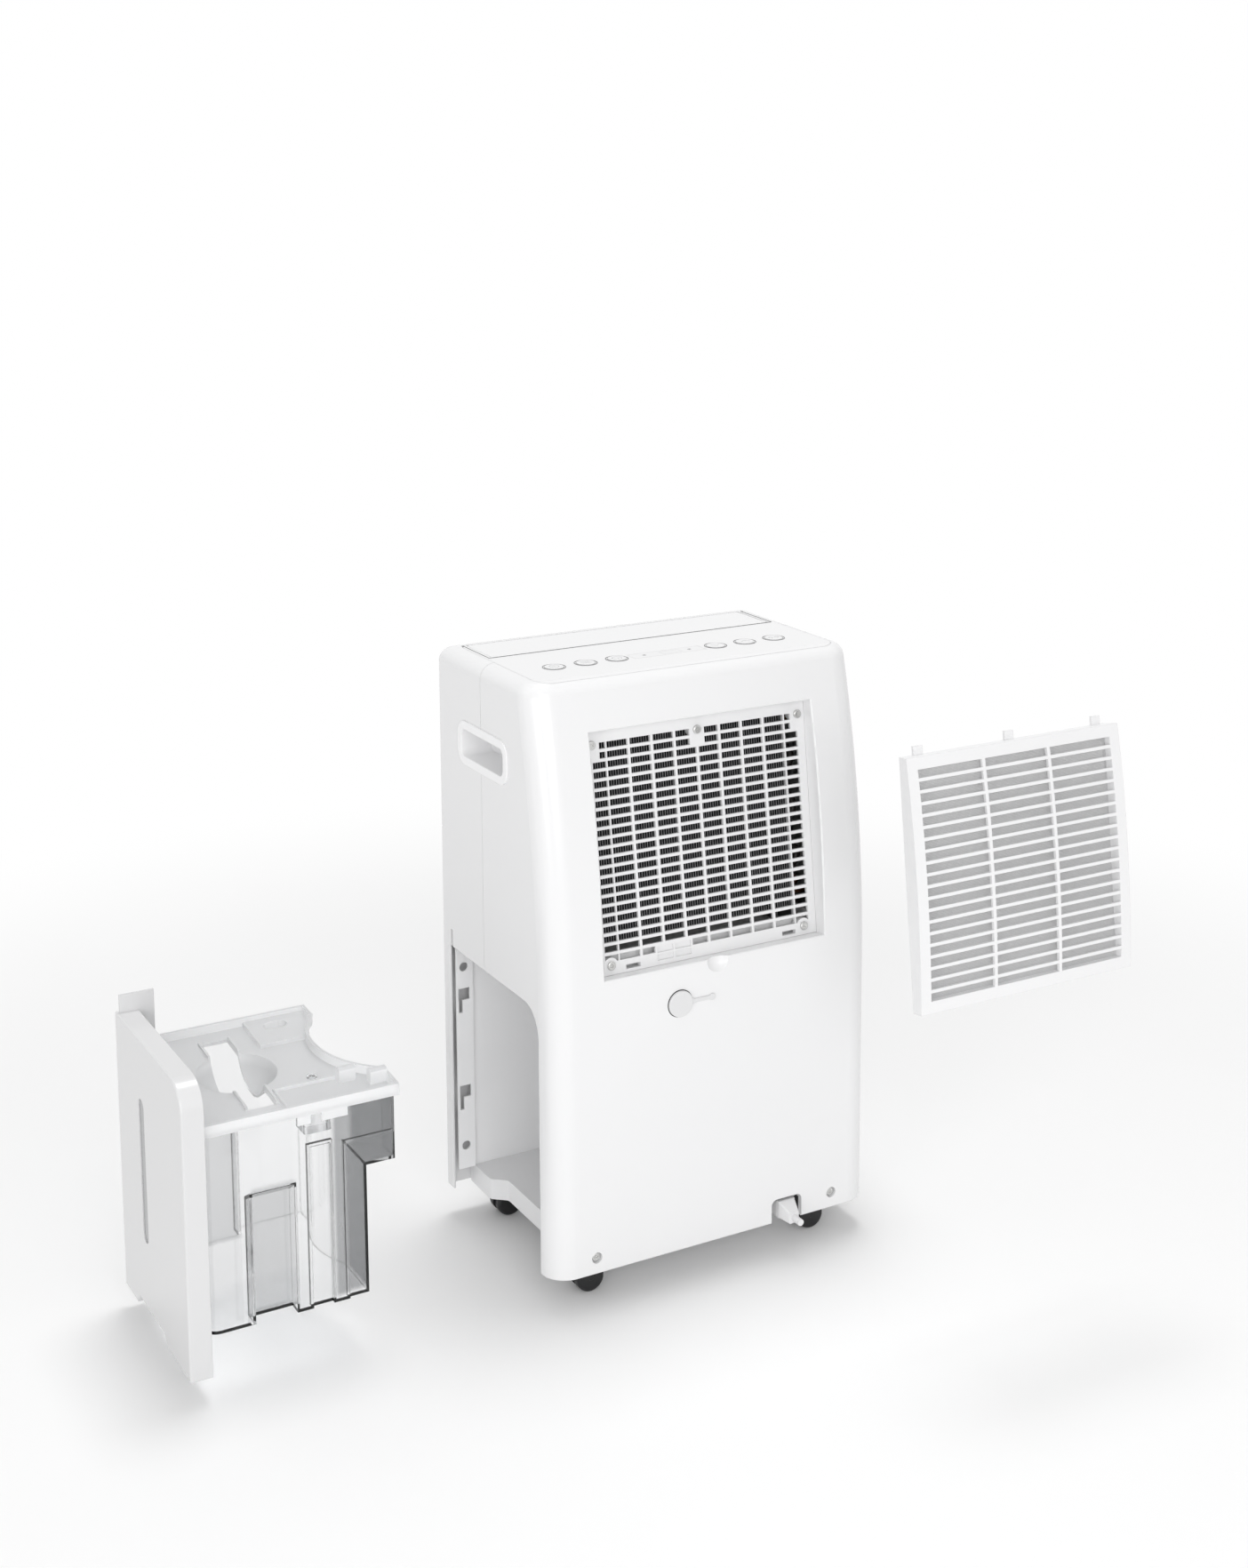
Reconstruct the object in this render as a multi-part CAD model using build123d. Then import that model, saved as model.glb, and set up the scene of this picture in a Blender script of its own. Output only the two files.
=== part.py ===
from build123d import *
import math
import os

# A portable compressor dehumidifier in millimetres. The origin is on the floor under the middle of the body.
# +X is the side that the water tank leaves by, +Y is the back with the air inlet, +Z is up.
# It rests as it is shown for cleaning: the tank drawn out sideways and the air filter off the back.

# Casing
body_width = 350.0
body_depth = 235.0
body_top = 584.0
body_bottom = 31.0
corner_radius = 25.0
front_corner_radius = 4.0
shoulder_radius = 15.0
shell_wall = 2.5
back_lean_start = 280.0
back_lean_radius = 1170.0
shell_seam_y = -21.5
seam_gap = 0.4
move_gap = 0.4
seat_gap = 0.2
foot_round = 2.0
recess_lip_round = 1.5
bay_mouth_round = 1.2

# Top cover, louver and controls
cover_half_width = 160.0
cover_front_y = -102.0
cover_back_y = 72.0
cover_corner = 14.0
cover_thickness = 2.5
ledge_width = 6.0
ledge_seat = 2.0
ledge_thickness = 2.0
louver_half_width = 153.0
louver_front_y = -98.0
louver_back_y = -41.0
louver_thickness = 3.0
louver_pin_radius = 2.0
louver_pin_length = 3.0
louver_boss_radius = 4.0
louver_gap = 0.6
louver_edge_round = 1.0
louver_corner = 3.0
button_pitch = 33.0
button_inner_x = 54.0
button_y = 22.5
button_radius = 9.0
button_proud = 0.8
button_travel = 1.2
button_flange = 1.5
button_flange_thickness = 1.0
button_gap = 0.35
board_thickness = 1.6
board_margin = 17.0
switch_side = 6.0
display_half_width = 39.0
display_depth = 17.0
display_thickness = 1.6
display_shelf = 1.5

# Side hand holds
cup_mid_y = -17.5
cup_length = 94.0
cup_bottom = 486.0
cup_height = 30.0
cup_depth = 32.0
cup_wall = 2.0
cup_corner = 9.0
cup_rim = 6.5
cup_rim_proud = 1.5

# Air inlet recess, grille and filter
inlet_half_width = 119.3
inlet_bottom = 310.0
inlet_top = 535.0
inlet_lean = 6.9
inlet_floor_y = 86.8
inlet_lip = 7.0
grille_thickness = 3.0
grille_rows = 23
grille_row_pitch = 8.9
grille_bar = 2.9
grille_columns = 8
grille_column_pitch = 24.2
grille_mullion = 2.6
grille_end_cell = 14.0
grille_boss_radius = 7.5
grille_boss_width = 16.0
grille_boss_rows = 2
grille_screw_inset = 8.0
grille_screw_top = 13.0
grille_screw_bottom_x = 105.0
grille_blank_width = 40.0
grille_blank_height = 17.0
grille_blank_x = 38.0
grille_blank_thickness = 1.2
grille_blank_rib = 2.0
grille_slot_width = 15.0
grille_slot_height = 4.0
grille_slot_v = -108.3
grille_slot_spots = (-82.0, 88.0)
scoop_radius = 14.0
scoop_depth = 6.0
screw_head_radius = 4.2
screw_head_height = 2.2
screw_shank_radius = 1.9
screw_length = 9.0
screw_slot = 1.2
screw_turn = 25.0
screw_clearance = 0.1
filter_shift_x = -198.0
filter_shift_y = 209.0
filter_border = 11.0
filter_face = 3.0
filter_columns = 3
filter_rows = 20
filter_mullion = 3.4
filter_bar = 3.0
filter_gap = 0.7
filter_slant_gap = 0.5
filter_tab_width = 10.0
filter_tab_height = 8.0
filter_tab_thickness = 2.6
filter_tab_spread = 100.0
net_thickness = 0.8
net_lift = 4.5
net_columns = 12
net_rows = 25
net_strand = 2.0

# Refrigeration
coil_half_width = 104.0
coil_bottom = 334.0
coil_top = 525.0
coil_depth = 25.0
coil_setback = 10.5
coil_spacing = 4.0
fin_pitch = 2.6
fin_thickness = 0.5
fin_tube_gap = 0.12
coil_tube_radius = 3.5
coil_tube_rows = 8
coil_bend_gap = 3.0
end_plate_thickness = 1.2
compressor_x = -66.0
compressor_y = -21.5
compressor_radius = 56.0
compressor_bottom = 64.0
compressor_height = 186.0
compressor_dome = 14.0
compressor_wall = 3.0
compressor_feet = 3
compressor_first_foot = 90.0
compressor_foot_radius = 64.0
compressor_foot_width = 22.0
compressor_foot_thickness = 3.0
grommet_radius = 7.0
grommet_stem_radius = 4.0
pump_radius = 42.0
pump_height = 90.0
accumulator_radius = 17.0
accumulator_height = 90.0
accumulator_bottom = 110.0
accumulator_angle = 130.0
accumulator_dome = 8.0
accumulator_wall = 1.5
pipe_radius = 3.2
pipe_bend = 12.0
capillary_radius = 1.5
capillary_bend = 6.0

# Fan
fan_x = 0.0
fan_z = 428.0
fan_radius = 88.0
fan_blade_inner = 74.0
fan_front_y = -92.0
fan_back_y = -28.0
fan_disc_y = -50.0
fan_disc_thickness = 2.5
fan_blades = 36
fan_blade_thickness = 1.4
fan_blade_angle = 30.0
fan_ring = 3.0
fan_hub_radius = 12.0
fan_hub_length = 18.0
fan_shaft_radius = 4.0
fan_shaft_clearance = 0.05
scroll_radius = 106.0
scroll_wall = 2.0
scroll_inlet_radius = 72.0
scroll_side_gap = 5.0
scroll_foot_x = 24.0
scroll_foot_width = 8.0
duct_half_width = 104.0
duct_top_gap = 3.0
motor_radius = 40.0
motor_length = 34.0
motor_flange_radius = 50.0
motor_flange_thickness = 3.0

# Base and tank bay
base_deck_top = 52.0
base_deck_thickness = 3.0
base_wall = 3.0
base_corner = 6.0
base_tank_edge_x = 152.0
base_recess_depth = 14.0
base_recess_front_y = -52.0
base_recess_back_y = 44.0
base_recess_blend = 12.0
bay_ceiling = 305.0
bay_liner_wall = 2.0
bay_front_y = -97.5
bay_back_y = 87.5
bay_end_x = -30.0
bay_opening_top = 286.0
bay_opening_front_y = -101.5
bay_opening_back_y = 91.5
bay_opening_corner = 28.0
bay_flange_outer_x = 170.0
bay_flange_width = 16.0
bay_flange_rise = 3.0
bay_hole_radius = 4.5
bay_hole_inset = 24.0
key_width = 12.0
key_head_height = 12.0
key_tail_width = 4.0
key_tail_height = 13.0
key_upper_z = 240.0
key_lower_z = 139.0
tray_depth = 18.0
tray_wall = 2.0
tray_front_y = 14.0
tray_spout_radius = 9.0

# Water tank
tank_shift_x = 332.0
tank_panel_thickness = 20.0
tank_panel_bottom = 21.0
tank_panel_skin = 3.0
tank_panel_gap = 0.8
tank_panel_round = 2.0
panel_finger_y = -18.5
panel_finger_width = 72.0
panel_finger_rise = 9.0
panel_post_radius = 5.0
panel_post_inset = 30.0
tank_wall = 2.2
tank_lift = 0.4
tank_rim_z = 238.0
tank_front_y = -92.0
tank_back_y = 80.5
tank_end_x = -22.0
tank_step_x = 6.0
tank_step_z = 172.0
tank_corner = 12.0
tank_end_corner = 6.0
tank_far_end_x = 0.0
tank_far_end_y = -73.5
tank_ledge_x = 25.0
tank_ledge_z = 198.0
tank_ledge_depth = 3.0
tank_compressor_clear = 28.0
tank_groove_x = 40.0
tank_groove_width = 19.0
tank_groove_top = 202.0
tank_groove_depth = 4.0
tank_pocket_x = 74.0
tank_pocket_width = 38.0
tank_pocket_top = 172.0
tank_pocket_depth = 14.0
tank_pocket_slope = 10.0
tab_width = 32.0
tab_thickness = 2.2
tab_top = 302.0
tab_back_gap = 0.5
level_slot_y = -27.0
level_slot_bottom = 95.0
level_slot_top = 230.0
level_slot_width = 15.0
level_window_thickness = 2.0
level_strip_margin = 5.0
lid_thickness = 3.0
lid_overhang = 2.5
lid_rim_width = 3.0
lid_rim_height = 8.0
lid_slope = 4.85
lid_level_y = 21.5
lid_slot_x = 93.0
lid_slot_y = -7.5
lid_slot_width = 26.0
lid_slot_length = 130.0
lid_bowl_radius = 37.0
lid_bowl_depth = 22.0
lid_bowl_wall = 2.0
lid_pad_end_x = 59.0
lid_pad_width = 49.0
lid_pad_rise = 4.0
lid_pad_hole_length = 22.0
lid_pad_hole_width = 13.0
lid_pad_hole_x = 33.0
lid_pad_hole_y = -74.0
lid_rib_width = 2.0
lid_rib_height = 3.0
lid_rib_y = 36.0
lid_lug_length = 16.0
lid_lug_width = 9.0
lid_lug_height = 13.0
lid_lug_x = 2.0
lid_lug_step = 24.0
lid_lug_y = 38.0
lid_lug_step_y = 14.0
lid_lug_round = 3.0
lid_clip_height = 8.0
lid_clip_inset = 0.5
lid_clips = ((24.0, 24.0), (58.0, 12.0))
float_x = 36.0
float_y = 28.0
float_length = 26.0
float_width = 24.0
float_height = 26.0
float_travel = 15.0
float_stem_radius = 3.0
float_head_radius = 5.0
float_head_height = 2.0
float_clearance = 0.4
reed_length = 24.0
reed_width = 14.0
reed_height = 10.0

# Drain outlet, mains lead outlet and electrics
drain_x = 41.0
drain_z = 275.5
spigot_radius = 9.0
spigot_bore = 7.0
spigot_y = 101.0
plug_cap_radius = 12.5
plug_cap_thickness = 2.6
plug_length = 11.0
plug_edge_round = 0.8
strap_length = 22.0
strap_width = 4.0
strap_thickness = 1.2
strap_end_radius = 3.4
strap_pin_radius = 1.4
notch_x = -78.0
notch_width = 34.0
notch_height = 24.0
notch_corner = 6.0
relief_width = 18.0
relief_height = 17.0
relief_lift = 4.0
relief_tip = 11.0
relief_inner = 12.0
relief_reach = 13.0
relief_corner = 1.6
cord_radius = 3.3
cord_stub_length = 12.0
cord_drop = 4.0
shell_screw_x = 129.5
shell_screw_z = 47.0
shell_screw_well = 5.2
shell_screw_well_depth = 4.0
electric_width = 30.0
electric_depth = 110.0
electric_height = 150.0
electric_bottom = 110.0
electric_y = -35.0
capacitor_radius = 16.0
capacitor_height = 60.0

# Casters
caster_x = 129.0
caster_front_y = -89.5
caster_back_y = 81.5
wheel_radius = 14.0
wheel_width = 9.0
wheel_round = 3.5
axle_radius = 2.5
axle_clearance = 0.06
fork_thickness = 5.0
fork_trail = 6.0
fork_side_gap = 0.5
fork_top_gap = 0.6
fork_hub_radius = 10.0
stem_radius = 5.0
stem_length = 13.0
stem_clearance = 0.06
socket_wall = 4.0

# Values that follow from the sizes above
half_width = body_width / 2
back_y = body_depth / 2
front_y = -back_y
inner_half_width = half_width - shell_wall
far = 2 * (body_width + body_depth)
inlet_mid_z = (inlet_bottom + inlet_top) / 2
inlet_half_height = (inlet_top - inlet_bottom) / 2
lean_angle = math.radians(inlet_lean)
screw_seat_y = back_y - shell_screw_well_depth
inlet_plane = Plane(
    origin=(0, inlet_floor_y, inlet_mid_z),
    x_dir=(-1, 0, 0),
    z_dir=(0, math.cos(lean_angle), math.sin(lean_angle)),
)
tank_bottom = base_deck_top + tank_lift
tank_panel_inner_x = half_width - tank_panel_thickness
compressor_clear_radius = compressor_radius + tank_compressor_clear
lid_top = tank_rim_z + lid_thickness
tray_floor = bay_ceiling + bay_liner_wall
tray_top = tray_floor + tray_depth
post_length = screw_length - grille_thickness + seat_gap
tray_back_y = inlet_floor_y + (inlet_mid_z - tray_top) * math.tan(lean_angle) - post_length - tray_wall
drain_y = min(spigot_y, tray_back_y - spigot_radius - tray_wall)
tank_shift = Pos(tank_shift_x, 0, 0)
filter_shift = Pos(filter_shift_x, filter_shift_y, 0)
caster_spots = {
    "back_left": (caster_x, caster_back_y),
    "back_right": (-caster_x, caster_back_y),
    "front_left": (caster_x, caster_front_y),
    "front_right": (-caster_x, caster_front_y),
}
button_spots = [
    side * (button_inner_x + step * button_pitch)
    for side in (1, -1)
    for step in range(3)
]


def block(x0, x1, y0, y1, z0, z1):
    """A box between two corners."""
    middle = Pos((x0 + x1) / 2, (y0 + y1) / 2, (z0 + z1) / 2)
    return middle * Box(abs(x1 - x0), abs(y1 - y0), abs(z1 - z0))


def upright(radius, x, y, z0, z1):
    """A cylinder that stands along Z."""
    return Pos(x, y, (z0 + z1) / 2) * Cylinder(radius, abs(z1 - z0))


def along_y(radius, x, z, y0, y1):
    """A cylinder that lies along Y."""
    return Pos(x, (y0 + y1) / 2, z) * Rot(90, 0, 0) * Cylinder(radius, abs(y1 - y0))


def along_x(radius, y, z, x0, x1):
    """A cylinder that lies along X."""
    return Pos((x0 + x1) / 2, y, z) * Rot(0, 90, 0) * Cylinder(radius, abs(x1 - x0))


def on_inlet(width, height, d0, d1, u=0.0, v=0.0, corner=0.0):
    """A rounded block in the leaning plane of the inlet, from depth d0 to d1 along its outward normal."""
    outline = RectangleRounded(width, height, corner) if corner else Rectangle(width, height)
    return inlet_plane * Pos(u, v, d0) * extrude(outline, d1 - d0)


def lean_at(inset, z):
    """How far the back stands forward of its foot at a height."""
    radius = back_lean_radius - inset
    return radius - math.sqrt(radius**2 - (z - back_lean_start) ** 2)


def body_profile(inset, bottom):
    """The casing's side outline as a face across X, drawn in by an inset, down to a given height."""
    front = front_y + inset
    back = back_y - inset
    top = body_top - inset
    middle = (back_lean_start + top) / 2
    lean_top = back - lean_at(inset, top)
    lean_middle = back - lean_at(inset, middle)
    start = (back, back_lean_start)
    outline = Polyline(start, (back, bottom), (front, bottom), (front, top), (lean_top, top))
    outline += ThreePointArc((lean_top, top), (lean_middle, middle), start)
    return make_face(Plane.YZ * outline)


def body_form(inset, bottom):
    """The casing's rounded outside, drawn in by an inset, down to a given height."""
    solid = extrude(body_profile(inset, bottom), half_width - inset, both=True)
    tall = (back_lean_start - bottom) / 2
    corners = [e for e in solid.edges() if e.bounding_box().size.Z > tall]
    solid = fillet([e for e in corners if e.center().Y > 0], max(corner_radius - inset, shell_wall))
    rim = solid.faces().sort_by(Axis.Z)[-1].edges()
    solid = fillet(rim, max(shoulder_radius - inset, shell_wall))
    upright_edges = [e for e in solid.edges() if e.bounding_box().size.Z > shoulder_radius / 2]
    front_edges = [e for e in upright_edges if e.center().Y < front_y / 2]
    return fillet(front_edges, max(front_corner_radius - inset, shell_wall))


def cover_outline(grow):
    """The top cover's rounded plan, grown by a margin."""
    length = cover_back_y - cover_front_y
    middle = (cover_back_y + cover_front_y) / 2
    plan = RectangleRounded(2 * (cover_half_width + grow), length + 2 * grow, cover_corner + grow)
    return Pos(0, middle, 0) * plan


def bay_opening(inset):
    """The tank's way in through the casing's side, as a block along X."""
    y0 = bay_opening_front_y + inset
    y1 = bay_opening_back_y - inset
    top = bay_opening_top - inset
    bottom = tank_panel_bottom
    outline = Pos((y0 + y1) / 2, (top + bottom) / 2) * Rectangle(y1 - y0, top - bottom)
    near_top = outline.vertices().sort_by(Axis.Y)[-2:].sort_by(Axis.X)[-1]
    outline = fillet(near_top, bay_opening_corner - inset)
    return extrude(Plane.YZ * outline, half_width + tank_panel_thickness)


def screw(turn, head_at):
    """One pan head screw with a cross slot, with its head's underside at the origin, pointing along -Z."""
    head = Pos(0, 0, screw_head_height / 2) * Cylinder(screw_head_radius, screw_head_height)
    head = fillet(head.edges().sort_by(Axis.Z)[-1], screw_head_height / 2)
    for angle in (0, 90):
        slot = Box(screw_head_radius, screw_slot, screw_head_height)
        head -= Pos(0, 0, screw_head_height) * Rot(0, 0, angle + turn) * slot
    shank = Pos(0, 0, -screw_length / 2) * Cylinder(screw_shank_radius, screw_length)
    return head_at * (head + shank)


def save(shape, name):
    """Writes one piece."""
    export_step(shape, "parts/" + name + ".step")


os.makedirs("parts", exist_ok=True)

# Casing: one skin, parted at the side seam into a front and a back shell
outside = body_form(0, body_bottom)
inside = body_form(shell_wall, body_bottom - shell_wall)
ledge_top = body_top - cover_thickness
ledge = extrude(cover_outline(ledge_width) - cover_outline(-ledge_seat), ledge_thickness)
ledge = Pos(0, 0, ledge_top - ledge_thickness) * ledge & outside
cover_hole = Pos(0, 0, ledge_top) * extrude(cover_outline(seat_gap), cover_thickness + shell_wall)

recess_depth = shell_wall + back_y - inlet_floor_y
recess_width = 2 * inlet_half_width
recess_height = 2 * inlet_half_height / math.cos(lean_angle)
tub_grow = 2 * shell_wall
tub = on_inlet(recess_width + tub_grow, recess_height + tub_grow, -shell_wall, 2 * recess_depth)
tub_hollow = on_inlet(recess_width, recess_height, 0, 2 * recess_depth)
window_size = (recess_width - 2 * inlet_lip, recess_height - 2 * inlet_lip)
tub_window = on_inlet(*window_size, -2 * recess_depth, recess_depth)


def is_recess_lip(edge):
    """True for the long edges round the mouth of the inlet recess."""
    middle = edge.center()
    floor_y = inlet_floor_y + (inlet_mid_z - middle.Z) * math.tan(lean_angle)
    inside_x = abs(middle.X) < inlet_half_width + seam_gap
    inside_z = abs(middle.Z - inlet_mid_z) < inlet_half_height + grille_thickness
    return edge.length > inlet_half_height and inside_x and inside_z and middle.Y > floor_y + grille_thickness


def is_bay_mouth(edge):
    """True for the edges where the tank's way in meets the casing's side."""
    middle = edge.center()
    inside_y = bay_opening_front_y - seam_gap < middle.Y < bay_opening_back_y + seam_gap
    inside_z = body_bottom + corner_radius < middle.Z < bay_opening_top + seam_gap
    return middle.X > half_width - 3 * shell_wall and inside_y and inside_z


form = fillet(outside.faces().sort_by(Axis.Z)[0].edges(), foot_round)
form = form - tub_hollow - bay_opening(0)
form = fillet([e for e in form.edges() if is_recess_lip(e)], recess_lip_round)
form = fillet([e for e in form.edges() if is_bay_mouth(e)], bay_mouth_round)

# The grille is held to the recess by screws, so the lip carries a post with a pilot hole under each
grille_screw_spots = [
    (inlet_half_width - grille_screw_inset, inlet_half_height - grille_screw_top),
    (0, inlet_half_height - grille_screw_top),
    (grille_screw_inset - inlet_half_width, inlet_half_height - grille_screw_top),
    (grille_screw_bottom_x, grille_screw_inset - inlet_half_height),
    (-grille_screw_bottom_x, grille_screw_inset - inlet_half_height),
]
post_plan = Sketch()
for u, v in grille_screw_spots:
    edge_v = math.copysign(recess_height / 2, v)
    post_plan += Pos(u, v) * Circle(grille_boss_radius)
    post_plan += Pos(u, (v + edge_v) / 2) * Rectangle(2 * screw_head_radius, abs(edge_v - v))
post_plan = post_plan & Rectangle(recess_width, recess_height)
posts = inlet_plane * Pos(0, 0, -post_length) * extrude(post_plan, post_length)
pilot = Cylinder(screw_shank_radius + screw_clearance, 2 * recess_depth)
tub = (tub & form) - tub_hollow - tub_window + posts

scoop_centre = Pos(0, back_y - lean_at(0, inlet_bottom) + scoop_radius - scoop_depth, inlet_bottom)
cord_notch = Pos(notch_x, back_y, body_bottom) * Box(notch_width, 2 * corner_radius, 2 * notch_height)
notch_top = cord_notch.edges().filter_by(Axis.Y).group_by(Axis.Z)[-1]
cord_notch = fillet(notch_top, notch_corner)
cup_hole_size = (cup_length + 2 * seat_gap, cup_height + 2 * seat_gap)
cup_hole = extrude(Plane.YZ * RectangleRounded(*cup_hole_size, cup_corner), body_width, both=True)
cup_hole = Pos(0, cup_mid_y, cup_bottom + cup_height / 2) * cup_hole
tab_slot = block(
    inner_half_width - corner_radius,
    half_width + shell_wall,
    bay_front_y,
    bay_front_y + tab_back_gap + tab_thickness + 2 * tank_panel_gap,
    bay_opening_top - bay_opening_corner,
    tab_top + 2 * tank_panel_gap,
)
drain_hole = along_y(spigot_radius + seat_gap, drain_x, drain_z, spigot_y, back_y + shell_wall)
strap_pin_x = drain_x - plug_cap_radius - strap_length
strap_hole = along_y(strap_pin_radius + seat_gap, strap_pin_x, drain_z, spigot_y, back_y + shell_wall)

skin = form - inside + ledge + tub
skin = skin - tub_hollow - cover_hole - cup_hole - tab_slot
skin = skin - scoop_centre * Sphere(scoop_radius) - cord_notch - drain_hole - strap_hole
skin += (scoop_centre * (Sphere(scoop_radius + shell_wall) - Sphere(scoop_radius))) & outside - tub_hollow
for side in (1, -1):
    well_at = (side * shell_screw_x, shell_screw_z)
    skin += along_y(shell_screw_well + shell_wall, *well_at, screw_seat_y - shell_wall, back_y)
    skin -= along_y(shell_screw_well, *well_at, screw_seat_y, back_y + shell_wall)
    skin -= along_y(screw_shank_radius + screw_clearance, *well_at, back_y - 2 * screw_length, back_y)
front_half = block(-far, far, -far, shell_seam_y - seam_gap / 2, 0, far)
back_half = block(-far, far, shell_seam_y + seam_gap / 2, far, 0, far)
front_shell = skin & front_half
back_shell = skin & back_half
for spot in grille_screw_spots:
    back_shell -= inlet_plane * Pos(*spot, 0) * pilot

# The filter's top tabs catch in slots through the recess's upper wall
filter_floor = grille_thickness + screw_head_height + move_gap
filter_tab_spots = (-filter_tab_spread, 0, filter_tab_spread)
for u in filter_tab_spots:
    back_shell -= on_inlet(
        filter_tab_width + 2 * move_gap,
        2 * filter_tab_height,
        filter_floor - move_gap,
        filter_floor + filter_tab_thickness + move_gap,
        u=u,
        v=recess_height / 2,
    )


def grille_slot(u):
    """A narrow slot through the foot of the grille and the recess's lip."""
    return on_inlet(
        grille_slot_width, grille_slot_height, -2 * recess_depth, recess_depth, u=u, v=grille_slot_v
    )


for u in grille_slot_spots:
    back_shell -= grille_slot(u)
save(front_shell, "front_shell")
save(back_shell, "back_shell")

# Top cover: a flush panel on the ledge, open for the louver, the six buttons and the display
button_hole_radius = button_radius + button_gap
pin_y = louver_back_y - louver_boss_radius
pin_z = ledge_top - louver_thickness
barrel_radius = body_top - pin_z
cover = Pos(0, 0, ledge_top) * extrude(cover_outline(0), cover_thickness) & outside
cover -= block(
    -louver_half_width - louver_gap,
    louver_half_width + louver_gap,
    louver_front_y - louver_gap,
    pin_y + barrel_radius + louver_gap,
    0,
    far,
)
for x in button_spots:
    cover -= upright(button_hole_radius, x, button_y, 0, far)
display_y0 = button_y - display_depth / 2
display_y1 = button_y + display_depth / 2
display_seat = body_top - display_thickness
cover -= block(-display_half_width, display_half_width, display_y0, display_y1, display_seat, far)
cover -= block(
    display_shelf - display_half_width,
    display_half_width - display_shelf,
    display_y0 + display_shelf,
    display_y1 - display_shelf,
    0,
    far,
)
ear_x0 = louver_half_width + louver_gap
ear_x1 = ear_x0 + louver_pin_length + louver_gap
for side in (1, -1):
    ear = block(
        side * ear_x0,
        side * ear_x1,
        pin_y - louver_boss_radius,
        pin_y + louver_boss_radius,
        pin_z - louver_boss_radius,
        ledge_top,
    )
    hole_radius = louver_pin_radius + axle_clearance
    cover += ear - along_x(hole_radius, pin_y, pin_z, side * ear_x0, side * ear_x1)
save(cover, "top_cover")

# Louver flap: closes the air outlet, with a round back edge that turns on two pins
flap = block(
    -louver_half_width,
    louver_half_width,
    louver_front_y,
    pin_y,
    body_top - louver_thickness,
    body_top,
)
flap = fillet(flap.edges().filter_by(Axis.Z).group_by(Axis.Y)[0], louver_corner)
front_edge = flap.edges().filter_by(Axis.X).group_by(Axis.Z)[-1].sort_by(Axis.Y)[0]
flap = fillet(front_edge, louver_edge_round)
flap += along_x(barrel_radius, pin_y, pin_z, -louver_half_width, louver_half_width)
pin_half = louver_half_width + louver_gap + louver_pin_length
flap += along_x(louver_pin_radius, pin_y, pin_z, -pin_half, pin_half)
save(flap, "louver_flap")

# Display window: a clear lens let into the cover
window = block(
    seat_gap - display_half_width,
    display_half_width - seat_gap,
    display_y0 + seat_gap,
    display_y1 - seat_gap,
    display_seat,
    body_top,
)
save(window, "display_window")

# Buttons: caps with a flange that holds them under the cover, each on its own switch
button_top = body_top + button_proud
flange_top = ledge_top - move_gap
cap_bottom = flange_top - button_flange_thickness
board_top = cap_bottom - button_travel - 2 * move_gap
for number, x in enumerate(button_spots, start=1):
    cap = upright(button_radius, x, button_y, cap_bottom, button_top)
    cap = fillet(cap.edges().sort_by(Axis.Z)[-1], button_proud / 2)
    cap += upright(button_radius + button_flange, x, button_y, cap_bottom, flange_top)
    save(cap, "button_" + str(number))

# Control board: a printed board under the buttons with one tact switch for each
board_half = max(button_spots) + board_margin
board_y0 = button_y - board_margin
board_y1 = button_y + board_margin
switch_height = board_thickness
board = block(
    -board_half,
    board_half,
    board_y0,
    board_y1,
    board_top - switch_height - board_thickness,
    board_top - switch_height,
)
for x in button_spots:
    half = switch_side / 2
    board += block(x - half, x + half, button_y - half, button_y + half, board_top - switch_height, board_top)
post_radius = louver_boss_radius
for x in (-board_half + post_radius, board_half - post_radius):
    board += upright(post_radius, x, board_y1 - post_radius, board_top - switch_height, ledge_top)
save(board, "control_board")

# Hand holds: moulded cups let into both sides across the seam
for side, name in ((1, "hand_hold_tank_side"), (-1, "hand_hold_far_side")):
    cup_plane = Plane(
        origin=(side * half_width, cup_mid_y, cup_bottom + cup_height / 2),
        x_dir=(0, 1, 0),
        z_dir=(side, 0, 0),
    )
    cup = Pos(0, 0, -cup_depth) * extrude(RectangleRounded(cup_length, cup_height, cup_corner), cup_depth)
    rim_outline = RectangleRounded(cup_length + 2 * cup_rim, cup_height + 2 * cup_rim, cup_corner + cup_rim)
    cup += extrude(rim_outline, cup_rim_proud)
    hollow_size = (cup_length - 2 * cup_wall, cup_height - 2 * cup_wall)
    hollow_outline = RectangleRounded(*hollow_size, cup_corner - cup_wall)
    cup -= Pos(0, 0, cup_wall - cup_depth) * extrude(hollow_outline, cup_depth + cup_rim_proud)
    rim_edges = cup.faces().sort_by(Axis.Z)[-1].edges()
    cup = fillet(rim_edges, cup_rim_proud / 2)
    save(cup_plane * cup, name)

# Intake grille: a lattice of slots with screw bosses, flat on the recess lip
grille_width = recess_width - 2 * seat_gap
grille_height = recess_height - 2 * seat_gap
cell_height = grille_row_pitch - grille_bar
cell_width = grille_column_pitch - grille_mullion
inner_field = grille_columns * grille_column_pitch
end_u = (inner_field + grille_end_cell) / 2
first_u = -(grille_columns - 1) / 2 * grille_column_pitch
column_spots = [(first_u + i * grille_column_pitch, cell_width) for i in range(grille_columns)]
column_spots = [(-end_u, grille_end_cell)] + column_spots + [(end_u, grille_end_cell)]
cells = []
for row in range(grille_rows):
    v = (row - (grille_rows - 1) / 2) * grille_row_pitch
    for u, width in column_spots:
        cells.append(Pos(u, v) * Rectangle(width, cell_height))
lattice = Rectangle(grille_width, grille_height) - cells
boss_bottom = (grille_rows / 2 - grille_boss_rows) * grille_row_pitch
boss_height = grille_height / 2 - boss_bottom
bosses = [Pos(*spot) * Circle(grille_boss_radius) for spot in grille_screw_spots]
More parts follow.
